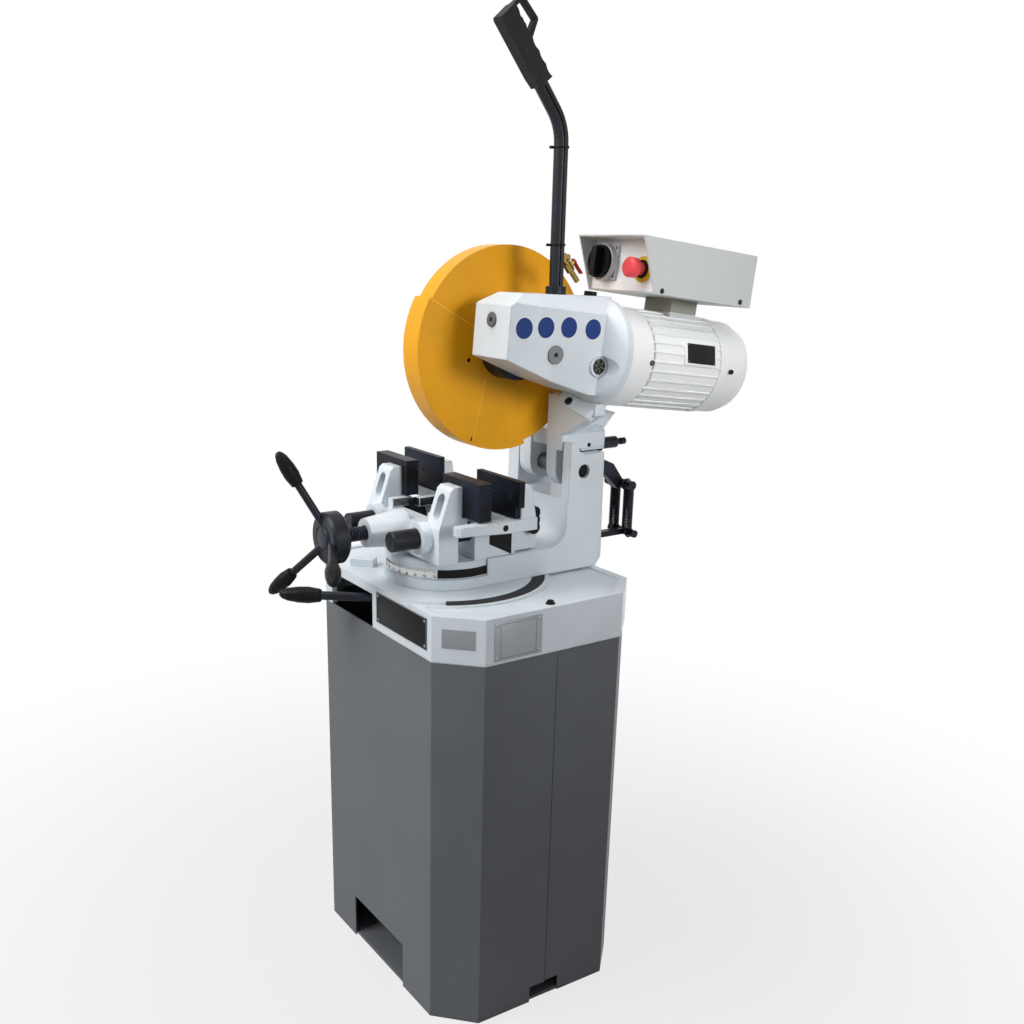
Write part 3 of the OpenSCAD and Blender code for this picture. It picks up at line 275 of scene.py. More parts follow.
def black_oxide(name, colour, rough=0.38, radius=0.0012, metallic=0.55, gloss=0.3):
    """Blackened steel: bluish drift and rubbed edges."""
    metal = Finish(name, metallic=metallic, gloss=gloss)
    rounded = metal.soft_edges(radius)
    cloud = metal.noise(14.0, 4.0, 0.6)
    fine = metal.noise(700.0, 2.0, 0.6)
    blued = mixed(colour, (0.02, 0.03, 0.06, 1), 0.4)
    tone = metal.blend(cloud.above(0.35, 0.3), colour, blued)
    rubbed = metal.edge_mask(rounded) * metal.noise(90.0, 4.0, 0.7).above(0.45, 0.2)
    metal.set(
        Base_Color=metal.blend(rubbed * 0.5, tone, shade(112, 114, 118)),
        Roughness=rough + (cloud - 0.5) * 0.22 + (fine - 0.5) * 0.1,
        Normal=metal.relief(fine, 0.0003, 0.2, rounded),
    )
    return metal


def moulded(name, colour, rough=0.42, grain=1500.0, depth=0.25, radius=0.0012, coat=0.0, gloss=0.3):
    """Moulded plastic with a fine pebble and handling marks."""
    plastic = Finish(name, gloss=gloss)
    rounded = plastic.soft_edges(radius)
    fine = plastic.noise(grain, 2.0, 0.5)
    hands = plastic.noise(22.0, 4.0, 0.6)
    plastic.set(
        Base_Color=plastic.blend(hands, colour, mixed(colour, (0.35, 0.35, 0.36, 1), 0.03)),
        Roughness=rough + (hands - 0.5) * 0.25 + (fine - 0.5) * 0.08,
        Coat_Weight=coat,
        Normal=plastic.relief(fine, 0.0003, depth, rounded),
    )
    return plastic


def make_finishes(colours):
    """All the finishes of the saw."""
    guard = tuple(colours.guard)
    enamel("casting_paint", tuple(colours.casting), grain=330.0, peel=0.35, drift=0.12,
           radius=0.0035, chip=shade(132, 122, 110), coat=0.2, gloss=0.4)
    enamel("motor_paint", tuple(colours.motor), rough=0.4, peel=0.2, drift=0.03,
           radius=0.0025, coat=0.1, gloss=0.4)
    enamel("guard_paint", guard, rough=0.4, grain=260.0, peel=0.3, drift=0.14,
           radius=0.0012, chip=shade(140, 96, 20), coat=0.05, gloss=0.25)
    # Lighter guard yellow for the guard seams: a painted highlight along the folds.
    enamel("seam_highlight_paint", mixed(guard, shade(255, 214, 84), 0.5), rough=0.45, grain=260.0,
           peel=0.2, drift=0.05, radius=0.0004, coat=0.0, gloss=0.15)
    enamel("stand_paint", tuple(colours.stand), rough=0.46, grain=900.0, peel=0.5,
           radius=0.004, coat=0.02, gloss=0.12)
    enamel("box_paint", tuple(colours.box), rough=0.5, grain=1100.0, peel=0.6, drift=0.04,
           radius=0.0015, coat=0.05, gloss=0.4)
    enamel("panel_paint", shade(246, 248, 249), rough=0.45, grain=900.0, peel=0.3,
           drift=0.03, radius=0.0008, coat=0.1)
    enamel("foot_paint", shade(150, 149, 138), rough=0.5, grain=1100.0, peel=0.5,
           drift=0.08, radius=0.0012, coat=0.05)
    black_oxide("black_steel", shade(30, 30, 32))
    black_oxide("jaw_steel", shade(9, 9, 10), rough=0.4, radius=0.0008, metallic=0.15, gloss=0.14)
    black_oxide("tube_steel", shade(42, 41, 40), rough=0.32, radius=0.0008, metallic=0.6)
    moulded("black_plastic", shade(9, 10, 13), rough=0.36, depth=0.12, gloss=0.09)
    moulded("grip_plastic", shade(14, 16, 20), rough=0.5, grain=900.0, depth=0.4, radius=0.002, gloss=0.16)
    moulded("cable_rubber", shade(20, 20, 21), rough=0.6, grain=1200.0, depth=0.3)
    moulded("switch_grey", shade(196, 199, 202), rough=0.4)
    moulded("stop_red", shade(244, 78, 84), rough=0.36, depth=0.1, radius=0.0015, coat=0.15)
    moulded("stop_yellow", shade(226, 178, 28), rough=0.38, depth=0.1, radius=0.0008, coat=0.2)
    moulded("valve_red", shade(176, 30, 36), rough=0.36, grain=1200.0, depth=0.2, radius=0.0006)
    moulded("sticker_blue", shade(18, 52, 118), rough=0.4, depth=0.08, radius=0.0003, gloss=0.2)
    moulded("mark_white", shade(225, 226, 226), rough=0.4, depth=0.1, radius=0.0003)
    moulded("plate_black", shade(13, 13, 15), rough=0.5, depth=0.06, radius=0.0005, gloss=0.12)
    # Dark grey for painted shade: the strip in the swing slot of the tray and the shadow lines at the laps
    # of the stand.
    moulded("painted_shade_grey", shade(40, 41, 43), rough=0.7, grain=900.0, depth=0.2, radius=0.0004, gloss=0.15)
    moulded("star_olive", shade(138, 138, 92), rough=0.5, grain=900.0, depth=0.1, radius=0.0002, gloss=0.2)
    # Black for marks, lines and holes, and also for the painted shadow under the wing of the bed.
    moulded("gap_black", shade(12, 12, 13), rough=0.7, grain=900.0, depth=0.2, radius=0.0004, gloss=0.15)
    moulded("lens_glass", shade(14, 17, 13), rough=0.12, grain=300.0, depth=0.02, radius=0.0004,
            coat=0.2, gloss=0.35)
    bare_metal("ground_steel", shade(176, 178, 182))
    bare_metal("dull_steel", shade(116, 118, 119), rough=0.42, stretch=(400.0, 400.0, 60.0))
    bare_metal("blade_steel", shade(150, 152, 156), rough=0.3, stretch=(60.0, 400.0, 400.0))
    bare_metal("scale_steel", shade(214, 215, 214), rough=0.36, stretch=(300.0, 300.0, 60.0), drift=0.1)
    bare_metal("plate_silver", shade(140, 143, 148), rough=0.4, stretch=(30.0, 30.0, 900.0), drift=0.1)
    bare_metal("chrome_trim", shade(216, 218, 222), rough=0.12, stretch=(200.0, 200.0, 200.0), drift=0.05)
    bare_metal("brass", shade(158, 134, 76), rough=0.34, stretch=(200.0, 200.0, 200.0), drift=0.15)


NODE_FINISH = {
    "stand_paint": ["stand_front", "stand_rear", "floor_plate", "coolant_tank"],
    "casting_paint": ["drip_tray", "tray_pad", "vise_bed", "moving_jaw", "swing_arm", "head_casting"],
    "motor_paint": ["motor_housing", "fan_cover"],
    "guard_paint": ["fixed_guard", "moving_guard"],
    "box_paint": ["control_box"],
    "panel_paint": ["control_panel"],
    "black_steel": [
        "coolant_pump", "mitre_lever", "guide_bars", "vise_screw", "handwheel", "lower_spring_bracket",
        "upper_spring_bracket", "return_springs", "handle_collar", "spindle_nose", "stop_screw",
    ],
    "jaw_steel": ["rear_jaw_plates", "front_jaw_plates"],
    "tube_steel": ["handle_tube"],
    "black_plastic": ["lever_grip", "handwheel_grips", "switch_knob", "jaw_knob", "oil_cap"],
    "grip_plastic": ["handle_grip", "trigger"],
    "cable_rubber": ["trigger_cable"],
    "ground_steel": [
        "clamp_stud", "turntable_spigot", "arbor_bearings", "motor_rotor", "arbor", "blade_flange",
    ],
    "dull_steel": ["worm_cap", "arbor_plug", "pivot_shaft"],
    "blade_steel": ["saw_blade"],
    "scale_steel": ["mitre_scale"],
    "chrome_trim": ["sight_glass"],
    "switch_grey": ["switch_plate"],
    "stop_yellow": ["estop_ring"],
    "stop_red": ["estop_button"],
    "valve_red": ["valve_lever"],
    "brass": ["valve_body", "vise_nut"],
}


def at(place):
    """Matrix that moves to a place."""
    return Matrix.Translation(place)


def face_along(direction, place):
    """Matrix that puts +Z along a direction at a place."""
    turn = Vector((0, 0, 1)).rotation_difference(Vector(direction))
    return at(place) @ turn.to_matrix().to_4x4()


def corners(across, up):
    """The four corners of a rectangle, from half its width and half its height."""
    return [(a, b) for a in (-across, across) for b in (-up, up)]


def place_new(shape, known, where):
    """Moves the vertices that were added since the known ones."""
    bmesh.ops.transform(shape, matrix=where, verts=[v for v in shape.verts if v not in known])


def spin(shape, geom, angle, steps, rise=0.0, merge=False):
    """Spins geometry round +Z, with the given rise at each step."""
    bmesh.ops.spin(
        shape, geom=geom, cent=(0, 0, 0), axis=(0, 0, 1), dvec=(0, 0, rise), angle=angle, steps=steps,
        use_merge=merge, use_duplicate=False,
    )


def chain(shape, profile):
    """Vertices and edges of an open (radius, height) profile."""
    verts = [shape.verts.new((r, 0.0, h)) for r, h in profile]
    return verts + [shape.edges.new(pair) for pair in zip(verts, verts[1:])]


def lathe(shape, profile, where, steps=32):
    """Spins a (radius, height) profile round +Z and puts it in place."""
    known = set(shape.verts)
    spin(shape, chain(shape, profile), TURN, steps, merge=True)
    place_new(shape, known, where)


def sector(shape, ring, start, sweep, where, steps=60):
    """Part of a ring of the given (radius, height) section, from start degrees on."""
    known = set(shape.verts)
    face = shape.faces.new([shape.verts.new((r, 0.0, h)) for r, h in ring])
    turn = Matrix.Rotation(math.radians(start), 3, "Z")
    bmesh.ops.rotate(shape, cent=(0, 0, 0), matrix=turn, verts=face.verts)
    spin(shape, [face], math.radians(sweep), steps)
    place_new(shape, known, where)


def slab(shape, size, where, round_by=0.0, segments=2):
    """A block of the given size, with its edges rounded."""
    known = set(shape.verts)
    made = bmesh.ops.create_cube(shape, size=1.0)
    bmesh.ops.scale(shape, vec=size, verts=made["verts"])
    if round_by:
        edges = list({e for v in made["verts"] for e in v.link_edges})
        bmesh.ops.bevel(
            shape, geom=edges, offset=round_by, offset_type="OFFSET", affect="EDGES",
            segments=segments, profile=0.5, clamp_overlap=True, material=-1,
        )
    place_new(shape, known, where)


def flat_plate(shape, outline, where, height):
    """A flat plate of the given (x, y) outline, standing up +Z from its seat."""
    known = set(shape.verts)
    face = shape.faces.new([shape.verts.new((x, y, 0.0)) for x, y in outline])
    raised = bmesh.ops.extrude_face_region(shape, geom=[face], use_keep_orig=True)["geom"]
    top = [v for v in raised if isinstance(v, bmesh.types.BMVert)]
    bmesh.ops.translate(shape, vec=(0, 0, height), verts=top)
    place_new(shape, known, where)


def disc(shape, where, radius, height, steps=40):
    """A thin round plate with a broken edge, standing up +Z from its seat."""
    rim = min(height, radius) * 0.4
    lathe(
        shape,
        [(0.0, height), (radius - rim, height), (radius, height - rim), (radius, 0.0), (0.0, 0.0)],
        where,
        steps,
    )


def hoop(shape, where, radius, wire, steps=40):
    """A round wire ring about +Z."""
    turns = [TURN * k / 10 for k in range(11)]
    lathe(shape, [(radius + wire * math.cos(a), wire * math.sin(a)) for a in turns], where, steps)


def washer(shape, where, inner, outer, height, steps=40):
    """A flat ring with a broken outer edge, standing up +Z from its seat."""
    rim = (outer - inner) * 0.2
    lathe(
        shape,
        [(inner, 0.0), (inner, height), (outer - rim, height), (outer, height - min(rim, height)),
         (outer, 0.0), (inner, 0.0)],
        where,
        steps,
    )


def socket_screw(shape, where, radius, height):
    """Cap screw with a rounded rim and a sunk socket, head up +Z from its seat."""
    hole = radius * 0.5
    rim = radius * 0.16
    lathe(
        shape,
        [
            (0.0, height * 0.35), (hole * 0.9, height * 0.35), (hole, height * 0.45), (hole, height),
            (radius - rim, height), (radius - rim * 0.3, height - rim * 0.3), (radius, height - rim),
            (radius, 0.0), (0.0, 0.0),
        ],
        where,
        20,
    )


def dome_screw(shape, where, radius, height):
    """Round-headed screw or rivet, head up +Z from its seat."""
    arc = [(radius * math.cos(a), height * math.sin(a)) for a in (0.0, 0.4, 0.8, 1.2)]
    lathe(shape, [(0.0, 0.0)] + arc + [(0.0, height)], where, 20)


def numeral(shape, digits, size, where):
    """Raised figures, upright along +Y with their face to +Z."""
    writing = bpy.data.curves.new("figures", "FONT")
    writing.body = digits
    writing.size = size
    writing.align_x = "CENTER"
    writing.extrude = 0.0002
    holder = bpy.data.objects.new("figures", writing)
    known = set(shape.verts)
    flat = bpy.data.meshes.new_from_object(holder)
    shape.from_mesh(flat)
    place_new(shape, known, where)
    bpy.data.objects.remove(holder)
    bpy.data.curves.remove(writing)
    bpy.data.meshes.remove(flat)


def finish_piece(name, shape, finish, body, smooth=38.0):
    """Cleans a bmesh, makes it an object at the origin and hangs it on a body."""
    bmesh.ops.remove_doubles(shape, verts=shape.verts, dist=1e-6)
    bmesh.ops.recalc_face_normals(shape, faces=shape.faces)
    mesh = bpy.data.meshes.new(name)
    shape.to_mesh(mesh)
    shape.free()
    for polygon in mesh.polygons:
        polygon.use_smooth = True
    mesh.set_sharp_from_angle(angle=math.radians(smooth))
    mesh.materials.append(FINISHES[finish].material)
    piece = bpy.data.objects.new(name, mesh)
    bpy.context.scene.collection.objects.link(piece)
    if body:
        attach(piece, body)
    return piece


class SawColours(bpy.types.PropertyGroup):
    """Paint colours"""

    casting: bpy.props.FloatVectorProperty(
        name="Casting paint", description="Paint of the castings and tray", subtype="COLOR",
        size=4, default=shade(222, 230, 236), min=0.0, max=1.0)
    motor: bpy.props.FloatVectorProperty(
        name="Motor paint", description="Paint of the motor and its fan cover", subtype="COLOR",
        size=4, default=shade(248, 249, 250), min=0.0, max=1.0)
    guard: bpy.props.FloatVectorProperty(
        name="Guard paint", description="Paint of both blade guards", subtype="COLOR",
        size=4, default=shade(240, 167, 3), min=0.0, max=1.0)
    stand: bpy.props.FloatVectorProperty(
        name="Stand paint", description="Paint of the sheet stand", subtype="COLOR",
        size=4, default=shade(108, 111, 115), min=0.0, max=1.0)
    box: bpy.props.FloatVectorProperty(
        name="Box paint", description="Paint of the control box", subtype="COLOR",
        size=4, default=shade(208, 211, 210), min=0.0, max=1.0)


class SawSizes(bpy.types.PropertyGroup):
    """Sizes of small parts, and the power of the lamps"""

    sticker_radius: bpy.props.FloatProperty(
        name="Disc radius", description="Radius of the blue discs on the gearbox", unit="LENGTH",
        default=0.0186, min=0.01, max=0.025)
    thread_pitch: bpy.props.FloatProperty(
        name="Thread pitch", description="Pitch of the vise screw thread", unit="LENGTH",
        default=0.006, min=0.004, max=0.008)
    spring_wire: bpy.props.FloatProperty(
        name="Spring wire", description="Radius of the return spring wire", unit="LENGTH",
        default=0.0015, min=0.001, max=0.002)
    lamp_power: bpy.props.FloatProperty(
        name="Key lamp", description="Power of the key lamp in watts", default=126.0, min=5.0, max=200.0)


class SAW_OT_finishes(bpy.types.Operator):
    """Paint every solid of the saw"""

    bl_idname = "saw.finishes"
    bl_label = "Finishes"

    def execute(self, context):
        make_finishes(context.scene.saw_colours)
        for finish, nodes in NODE_FINISH.items():
            for node in nodes:
                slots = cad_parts[node].data.materials
                slots.clear()
                slots.append(FINISHES[finish].material)
        return {"FINISHED"}


class SAW_OT_plates(bpy.types.Operator):
    """Bare plates and plug of the tray, a painted shade strip in its swing slot, and painted shadow lines
    along the laps of the stand
    """

    bl_idname = "saw.plates"
    bl_label = "Tray plates"

    def execute(self, context):
        low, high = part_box("drip_tray")
        self.front_plate(low)
        self.corner_plate(low, high)
        self.side_plate(high)
        self.tray_top(high)
        self.seams()
        return {"FINISHED"}

    def front_plate(self, low):
        width = 0.188
        height = 0.062
        half_thick = 0.0006
        edge = 0.0014
        middle = Vector((0.1045, low.y - half_thick, 0.8135))
        plate = bmesh.new()
        slab(plate, (width, half_thick * 2, height), at(middle), 0.0005)
        finish_piece("front_plate", plate, "plate_black", "stand")
        trim = bmesh.new()
        proud = -0.0007
        for up in ((edge - height) / 2, (height - edge) / 2):
            place = at(middle + Vector((0, proud, up)))
            slab(trim, (width, 0.0006, edge), place, 0.0002)
        for across in ((edge - width) / 2, (width - edge) / 2):
            place = at(middle + Vector((across, proud, 0)))
            slab(trim, (edge, 0.0006, height), place, 0.0002)
        for across, up in corners(0.087, 0.024):
            seat = face_along(FRONT, middle + Vector((across, -half_thick, up)))
            dome_screw(trim, seat, 0.0028, 0.0015)
        finish_piece("front_plate_trim", trim, "plate_silver", "stand")

    def corner_plate(self, low, high):
        inset = 0.03515
        middle = Vector((high.x - inset, low.y + inset, 0.8132))
        turned = at(middle) @ Matrix.Rotation(math.radians(45), 4, "Z")
        plate = bmesh.new()
        slab(plate, (0.062, 0.001, 0.0363), turned, 0.0004)
        finish_piece("corner_plate", plate, "plate_silver", "stand")

    def side_plate(self, high):
        half_thick = 0.0006
        middle = Vector((high.x + half_thick, -0.087, 0.808))
        plate = bmesh.new()
        slab(plate, (half_thick * 2, 0.106, 0.075), at(middle), 0.0005)
        for y, z in corners(0.047, 0.031):
            seat = face_along(RIGHT, middle + Vector((half_thick, y, z)))
            dome_screw(plate, seat, 0.0032, 0.0018)
        finish_piece("side_plate", plate, "plate_silver", "stand")
        half_width = 0.0395
        half_height = 0.0325
        line = 0.0006
        lines = bmesh.new()
        for y in (-half_width, half_width):
            place = at(middle + Vector((half_thick, y, 0)))
            slab(lines, (0.0003, line, half_height * 2 + line), place, 0.0001)
        for z in (-half_height, half_height):
            place = at(middle + Vector((half_thick, 0, z)))
            slab(lines, (0.0003, half_width * 2 + line, line), place, 0.0001)
        finish_piece("side_plate_lines", lines, "gap_black", "stand")

    def tray_top(self, high):
        plug = bmesh.new()
        hat = [
            (0.0, 0.0072), (0.0045, 0.007), (0.0068, 0.0055), (0.0072, 0.0018), (0.0088, 0.0014),
            (0.0094, 0.0006), (0.0094, 0.0), (0.0, 0.0),
        ]
        lathe(plug, hat, at((0.266, -0.002, high.z)))
        finish_piece("tray_plug", plug, "black_plastic", "stand")
        # A dark strip at the bottom of the swing slot: painted shade in the slot.
        inner = 0.180
        outer = 0.206
        thick = 0.0002
        slot = bmesh.new()
        ring = [(inner, 0.0), (outer, 0.0), (outer, thick), (inner, thick)]
        sector(slot, ring, -30, 91, at(TURNTABLE + Vector((0, 0, high.z))))
        finish_piece("swing_slot_shade", slot, "painted_shade_grey", "stand")

    def seams(self):
        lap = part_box("stand_front")[1].y
        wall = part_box("stand_rear")[1].x
        bottom = 0.038
        top = 0.752
        # Dark strips in the corners of the laps: painted shadow of the lapped sheet edges.
        shadow_strips = bmesh.new()
        for x in (-wall, wall):
            place = at((x, lap + 0.0019, (bottom + top) / 2))
            slab(shadow_strips, (0.0006, 0.0034, top - bottom), place, 0.0002)
        finish_piece("lap_painted_shadows", shadow_strips, "painted_shade_grey", "stand")


class SAW_OT_gearbox_trim(bpy.types.Operator):
    """Discs, plug centres, sight lens and neck of the gearbox"""

    bl_idname = "saw.gearbox_trim"
    bl_label = "Gearbox trim"

    def execute(self, context):
        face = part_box("arbor_plug")[0].x
        self.discs(face, context.scene.saw_sizes.sticker_radius)
        self.plug_centres(face)
        self.sight()
        self.neck()
        return {"FINISHED"}

    def discs(self, face, radius):
        discs = bmesh.new()
        rims = bmesh.new()
        for y, z in ((-0.077, 0.040), (-0.029, 0.046), (0.023, 0.051), (0.080, 0.053)):
            seat = HEAD @ face_along(RIGHT, (face, y, z))
            disc(discs, seat, radius, 0.0005, 48)
            washer(rims, seat, radius - 0.0002, radius + 0.0014, 0.0004, 48)
        finish_piece("gearbox_discs", discs, "sticker_blue", "head")
        finish_piece("disc_rims", rims, "mark_white", "head")

    def plug_centres(self, face):
        arbor_proud = 0.003
        worm_proud = 0.0045
        low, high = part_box("worm_cap")
        ahead = HEAD.to_3x3() @ Vector(FRONT)
        centres = bmesh.new()
        for seat in (
            HEAD @ face_along(RIGHT, (face + arbor_proud, 0, 0)),
            face_along(ahead, (low + high) / 2 + ahead * worm_proud),
        ):
            disc(centres, seat, 0.0042, 0.0003, 24)
        finish_piece("plug_centres", centres, "gap_black", "head")

    def sight(self):
        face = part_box("sight_glass")[1].x - 0.0012
        glass = HEAD @ face_along(RIGHT, (face, 0.103, -0.013))
        lens = bmesh.new()
        dome = [(0.0, 0.0022), (0.009, 0.0019), (0.0146, 0.0012), (0.0156, 0.0), (0.0, 0.0)]
        lathe(lens, dome, glass, 40)
        finish_piece("sight_lens", lens, "lens_glass", "head")
        arms = 6
        star = bmesh.new()
        for k in range(arms):
            turn = Matrix.Rotation(TURN * (k + 0.3) / arms, 4, "Z")
            arm = glass @ turn @ at((0.0072, 0, 0.0019))
            slab(star, (0.0088, 0.0011, 0.0005), arm, 0.0002)
        finish_piece("sight_star", star, "star_olive", "head")

    def neck(self):
        slope = at((0.128, 0.1535, 1.1905)) @ Matrix.Rotation(math.radians(13.8), 4, "Y")
        slope = slope @ Matrix.Rotation(math.radians(-38), 4, "X")
        shelf = bmesh.new()
        slab(shelf, (0.100, 0.018, 0.026), slope, 0.003, 3)
        finish_piece("neck_pad", shelf, "casting_paint", "head")
        screw = bmesh.new()
        socket_screw(screw, slope @ face_along(FRONT, (-0.018, -0.0085, -0.002)), 0.0082, 0.004)
        finish_piece("neck_screw", screw, "black_steel", "head")
        hole = bmesh.new()
        disc(hole, face_along(RIGHT, (0.086, 0.2219, 1.1025)), 0.0044, 0.0003, 24)
        finish_piece("block_hole", hole, "gap_black", "head")
        lip = bmesh.new()
        slab(lip, (0.0195, 0.060, 0.0048), at((0.076, 0.2318, 1.0938)), 0.001)
        finish_piece("block_lip", lip, "casting_paint", "head")
        # Black rubber shim under the block; its dark also stands in for painted shade in the gap under the
        # block.
        shade_shim = bmesh.new()
        slab(shade_shim, (0.016, 0.057, 0.0052), at((0.075, 0.2318, 1.0889)), 0.0008)
        finish_piece("block_shim_shade", shade_shim, "cable_rubber", "head")


class SAW_OT_guard_trim(bpy.types.Operator):
    """Folded seams, painted lighter as a highlight, and the slot of the moving guard"""

    bl_idname = "saw.guard_trim"
    bl_label = "Guard trim"

    def execute(self, context):
        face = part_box("moving_guard")[1].x
        hub = Vector((face, ARBOR.y, ARBOR.z))
        upper = math.radians(150.6)
        out = Vector((0, math.cos(upper), math.sin(upper)))
        # Raised seam strips in a paint lighter than the guard: a painted highlight along the folds.
        seams = bmesh.new()
        for start, end in (
            (Vector((face, 0.0077, 1.2447)), Vector((face, -0.0214, 1.1240))),
            (hub + out * 0.07, hub + out * 0.1965),
        ):
            run = end - start
            slab(seams, (0.0012, 0.0024, run.length), face_along(run, (start + end) / 2), 0.0005)
        finish_piece("guard_seam_highlights", seams, "seam_highlight_paint", "guard")
        slot = bmesh.new()
        slab(slot, (0.0008, 0.0030, 0.0085), face_along((0, 0.30, 1), (face, -0.0248, 1.1268)), 0.0003)
        finish_piece("guard_slot", slot, "gap_black", "guard")
        return {"FINISHED"}


class SAW_OT_motor_trim(bpy.types.Operator):
    """Barrel between the fins, bare plate, pad and screws of the motor"""

    bl_idname = "saw.motor_trim"
    bl_label = "Motor trim"

    def execute(self, context):
        radius = 0.095
        axis = Vector((GEAR_MID, 0.0, 0.008))
        self.barrel(axis)
        self.plate(axis, radius)
        self.screws(axis, radius)
        return {"FINISHED"}

    def barrel(self, axis):
        bore = 0.070
        end = 0.0915
        skin = 0.0922
        length = 0.180
        tube = [
            (bore, 0.0), (end, 0.0), (skin, 0.004), (skin, length - 0.004), (end, length), (bore, length),
            (bore, 0.0),
        ]
        barrel = bmesh.new()
        lathe(barrel, tube, HEAD @ face_along(BACK, axis + Vector((0, 0.212, 0))), 72)
        finish_piece("motor_barrel", barrel, "motor_paint", "head")

    def plate(self, axis, radius):
        turn = Matrix.Rotation(math.radians(-14.0), 4, "Y")
        flat = HEAD @ at(axis + Vector((0, 0.3285, 0))) @ turn
        pad = bmesh.new()
        slab(pad, (0.010, 0.086, 0.046), flat @ at((radius - 0.0048, 0, 0)), 0.0015)
        finish_piece("motor_pad", pad, "motor_paint", "head")
        half_thick = 0.0006
        plate = bmesh.new()
        middle = flat @ at((radius + half_thick, 0, 0))
        slab(plate, (half_thick * 2, 0.074, 0.038), middle, 0.0004)
        finish_piece("motor_plate", plate, "plate_black", "head")
        rivets = bmesh.new()
        for y, z in corners(0.034, 0.016):
            dome_screw(rivets, flat @ face_along(RIGHT, (radius + half_thick * 2, y, z)), 0.0015, 0.0008)
        finish_piece("motor_rivets", rivets, "dull_steel", "head")

    def screws(self, axis, radius):
        screws = bmesh.new()
        for y, z in ((0.2016, 0.005), (0.415, 0.0038)):
            angle = math.asin((z - axis.z) / radius)
            outward = Vector((math.cos(angle), 0.0, math.sin(angle)))
            seat = axis + outward * (radius - 0.0025) + Vector((0, y, 0))
            socket_screw(screws, HEAD @ face_along(outward, seat), 0.005, 0.005)
        finish_piece("motor_screws", screws, "black_steel", "head")


class SAW_OT_box_trim(bpy.types.Operator):
    """Foot, screws, switch sleeve and stop collar of the control box"""

    bl_idname = "saw.box_trim"
    bl_label = "Box trim"

    def execute(self, context):
        low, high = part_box("control_box")
        foot = bmesh.new()
        slab(foot, (0.0768, 0.0686, 0.0262), HEAD @ at((GEAR_MID, 0.3145, 0.1168)), 0.0012)
        finish_piece("box_foot", foot, "foot_paint", "head")
        box = bmesh.new()
        for way, x in ((RIGHT, high.x), (LEFT, low.x)):
            for y, z in ((0.1976, 0.1368), (0.4055, 0.139)):
                dome_screw(box, HEAD @ face_along(way, (x, y, z)), 0.0052, 0.003)
        finish_piece("box_screws", box, "black_steel", "head")
        sleeve = bmesh.new()
        washer(sleeve, HEAD @ face_along(FRONT, SWITCH), 0.0313, 0.0338, 0.0125, 56)
        finish_piece("switch_sleeve", sleeve, "switch_grey", "head")
        screws = bmesh.new()
        for x, z in corners(0.027, 0.027):
            seat = HEAD @ face_along(FRONT, SWITCH + Vector((x, 0, z)))
            dome_screw(screws, seat, 0.0024, 0.0012)
        finish_piece("switch_screws", screws, "black_steel", "head")
        collar = bmesh.new()
        washer(collar, HEAD @ face_along(FRONT, STOP_BUTTON), 0.0124, 0.0166, 0.0035, 48)
        finish_piece("stop_collar", collar, "black_plastic", "head")
        return {"FINISHED"}


class SAW_OT_vise_trim(bpy.types.Operator):
    """Screws, holes and machined faces of the vise, a painted shadow under the wing of the bed, and the
    end of the pivot
    """

    bl_idname = "saw.vise_trim"
    bl_label = "Vise trim"

    def execute(self, context):
        self.jaws()
        self.bed()
        self.slides()
        self.pivot()
        return {"FINISHED"}

    def jaws(self):
        screws = bmesh.new()
        for x in (-0.112, 0.112):
            socket_screw(screws, face_along(FRONT, (x, -0.1201, 1.037)), 0.0098, 0.010)
        finish_piece("jaw_screws", screws, "black_steel", "jaw")
        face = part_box("rear_jaw_plates")[0].y
        rims = bmesh.new()
        sunk = bmesh.new()
        for x in (-0.132, -0.178, 0.132, 0.178):
            seat = face_along(FRONT, (x, face, 1.041))
            washer(rims, seat, 0.0052, 0.0066, 0.0003, 28)
            disc(sunk, seat, 0.0054, 0.0002, 24)
        finish_piece("rear_plate_rims", rims, "tube_steel", "stand")
        finish_piece("rear_plate_holes", sunk, "gap_black", "stand")
        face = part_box("front_jaw_plates")[0].y
        holes = bmesh.new()
        for x in (-0.1637, 0.1637):
            disc(holes, face_along(FRONT, (x, face, 1.0407)), 0.0048, 0.0003, 24)
        finish_piece("front_plate_holes", holes, "gap_black", "jaw")

    def bed(self):
        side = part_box("vise_bed")[1].x
        holes = bmesh.new()
        for way, x in ((RIGHT, side), (LEFT, -side)):
            disc(holes, face_along(way, (x, -0.062, 0.9915)), 0.006, 0.0003, 28)
        finish_piece("bed_holes", holes, "gap_black", "stand")
        # A thin black sheet on the pedestal's right face: painted shadow under the wing of the bed.
        shadow_outline = [(-0.036, 0.936), (0.0165, 0.9095), (0.0165, 0.9775), (-0.036, 0.9775)]
        shadow_sheet = bmesh.new()
        flat_plate(shadow_sheet, shadow_outline, at((0.112, 0, 0)) @ UPRIGHT, 0.0004)
        finish_piece("bed_painted_shadow", shadow_sheet, "gap_black", "stand")

    def slides(self):
        shoes = bmesh.new()
        for x in (-0.067, 0.067):
            slab(shoes, (0.0006, 0.042, 0.0152), at((x, -0.1255, 0.995)), 0.0002)
        finish_piece("shoe_faces", shoes, "dull_steel", "jaw")
        rails = bmesh.new()
        for side in (-1, 1):
            inside = at((side * 0.048, -0.037, 0.9945))
            slab(rails, (0.0006, 0.118, 0.0155), inside, 0.0002)
            front = at((side * 0.056, -0.098, 0.9945))
            slab(rails, (0.0155, 0.0006, 0.0155), front, 0.0002)
            gib = at((side * 0.0653, -0.083, 0.9942))
            slab(rails, (0.0018, 0.056, 0.0152), gib, 0.0003)
        finish_piece("rail_faces", rails, "black_steel", "stand")

    def pivot(self):
        low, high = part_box("pivot_shaft")
        middle = (low + high) / 2
        end = bmesh.new()
        disc(end, face_along(RIGHT, (high.x, middle.y, middle.z)), 0.0168, 0.0006)
        finish_piece("pivot_end", end, "gap_black", "arm")


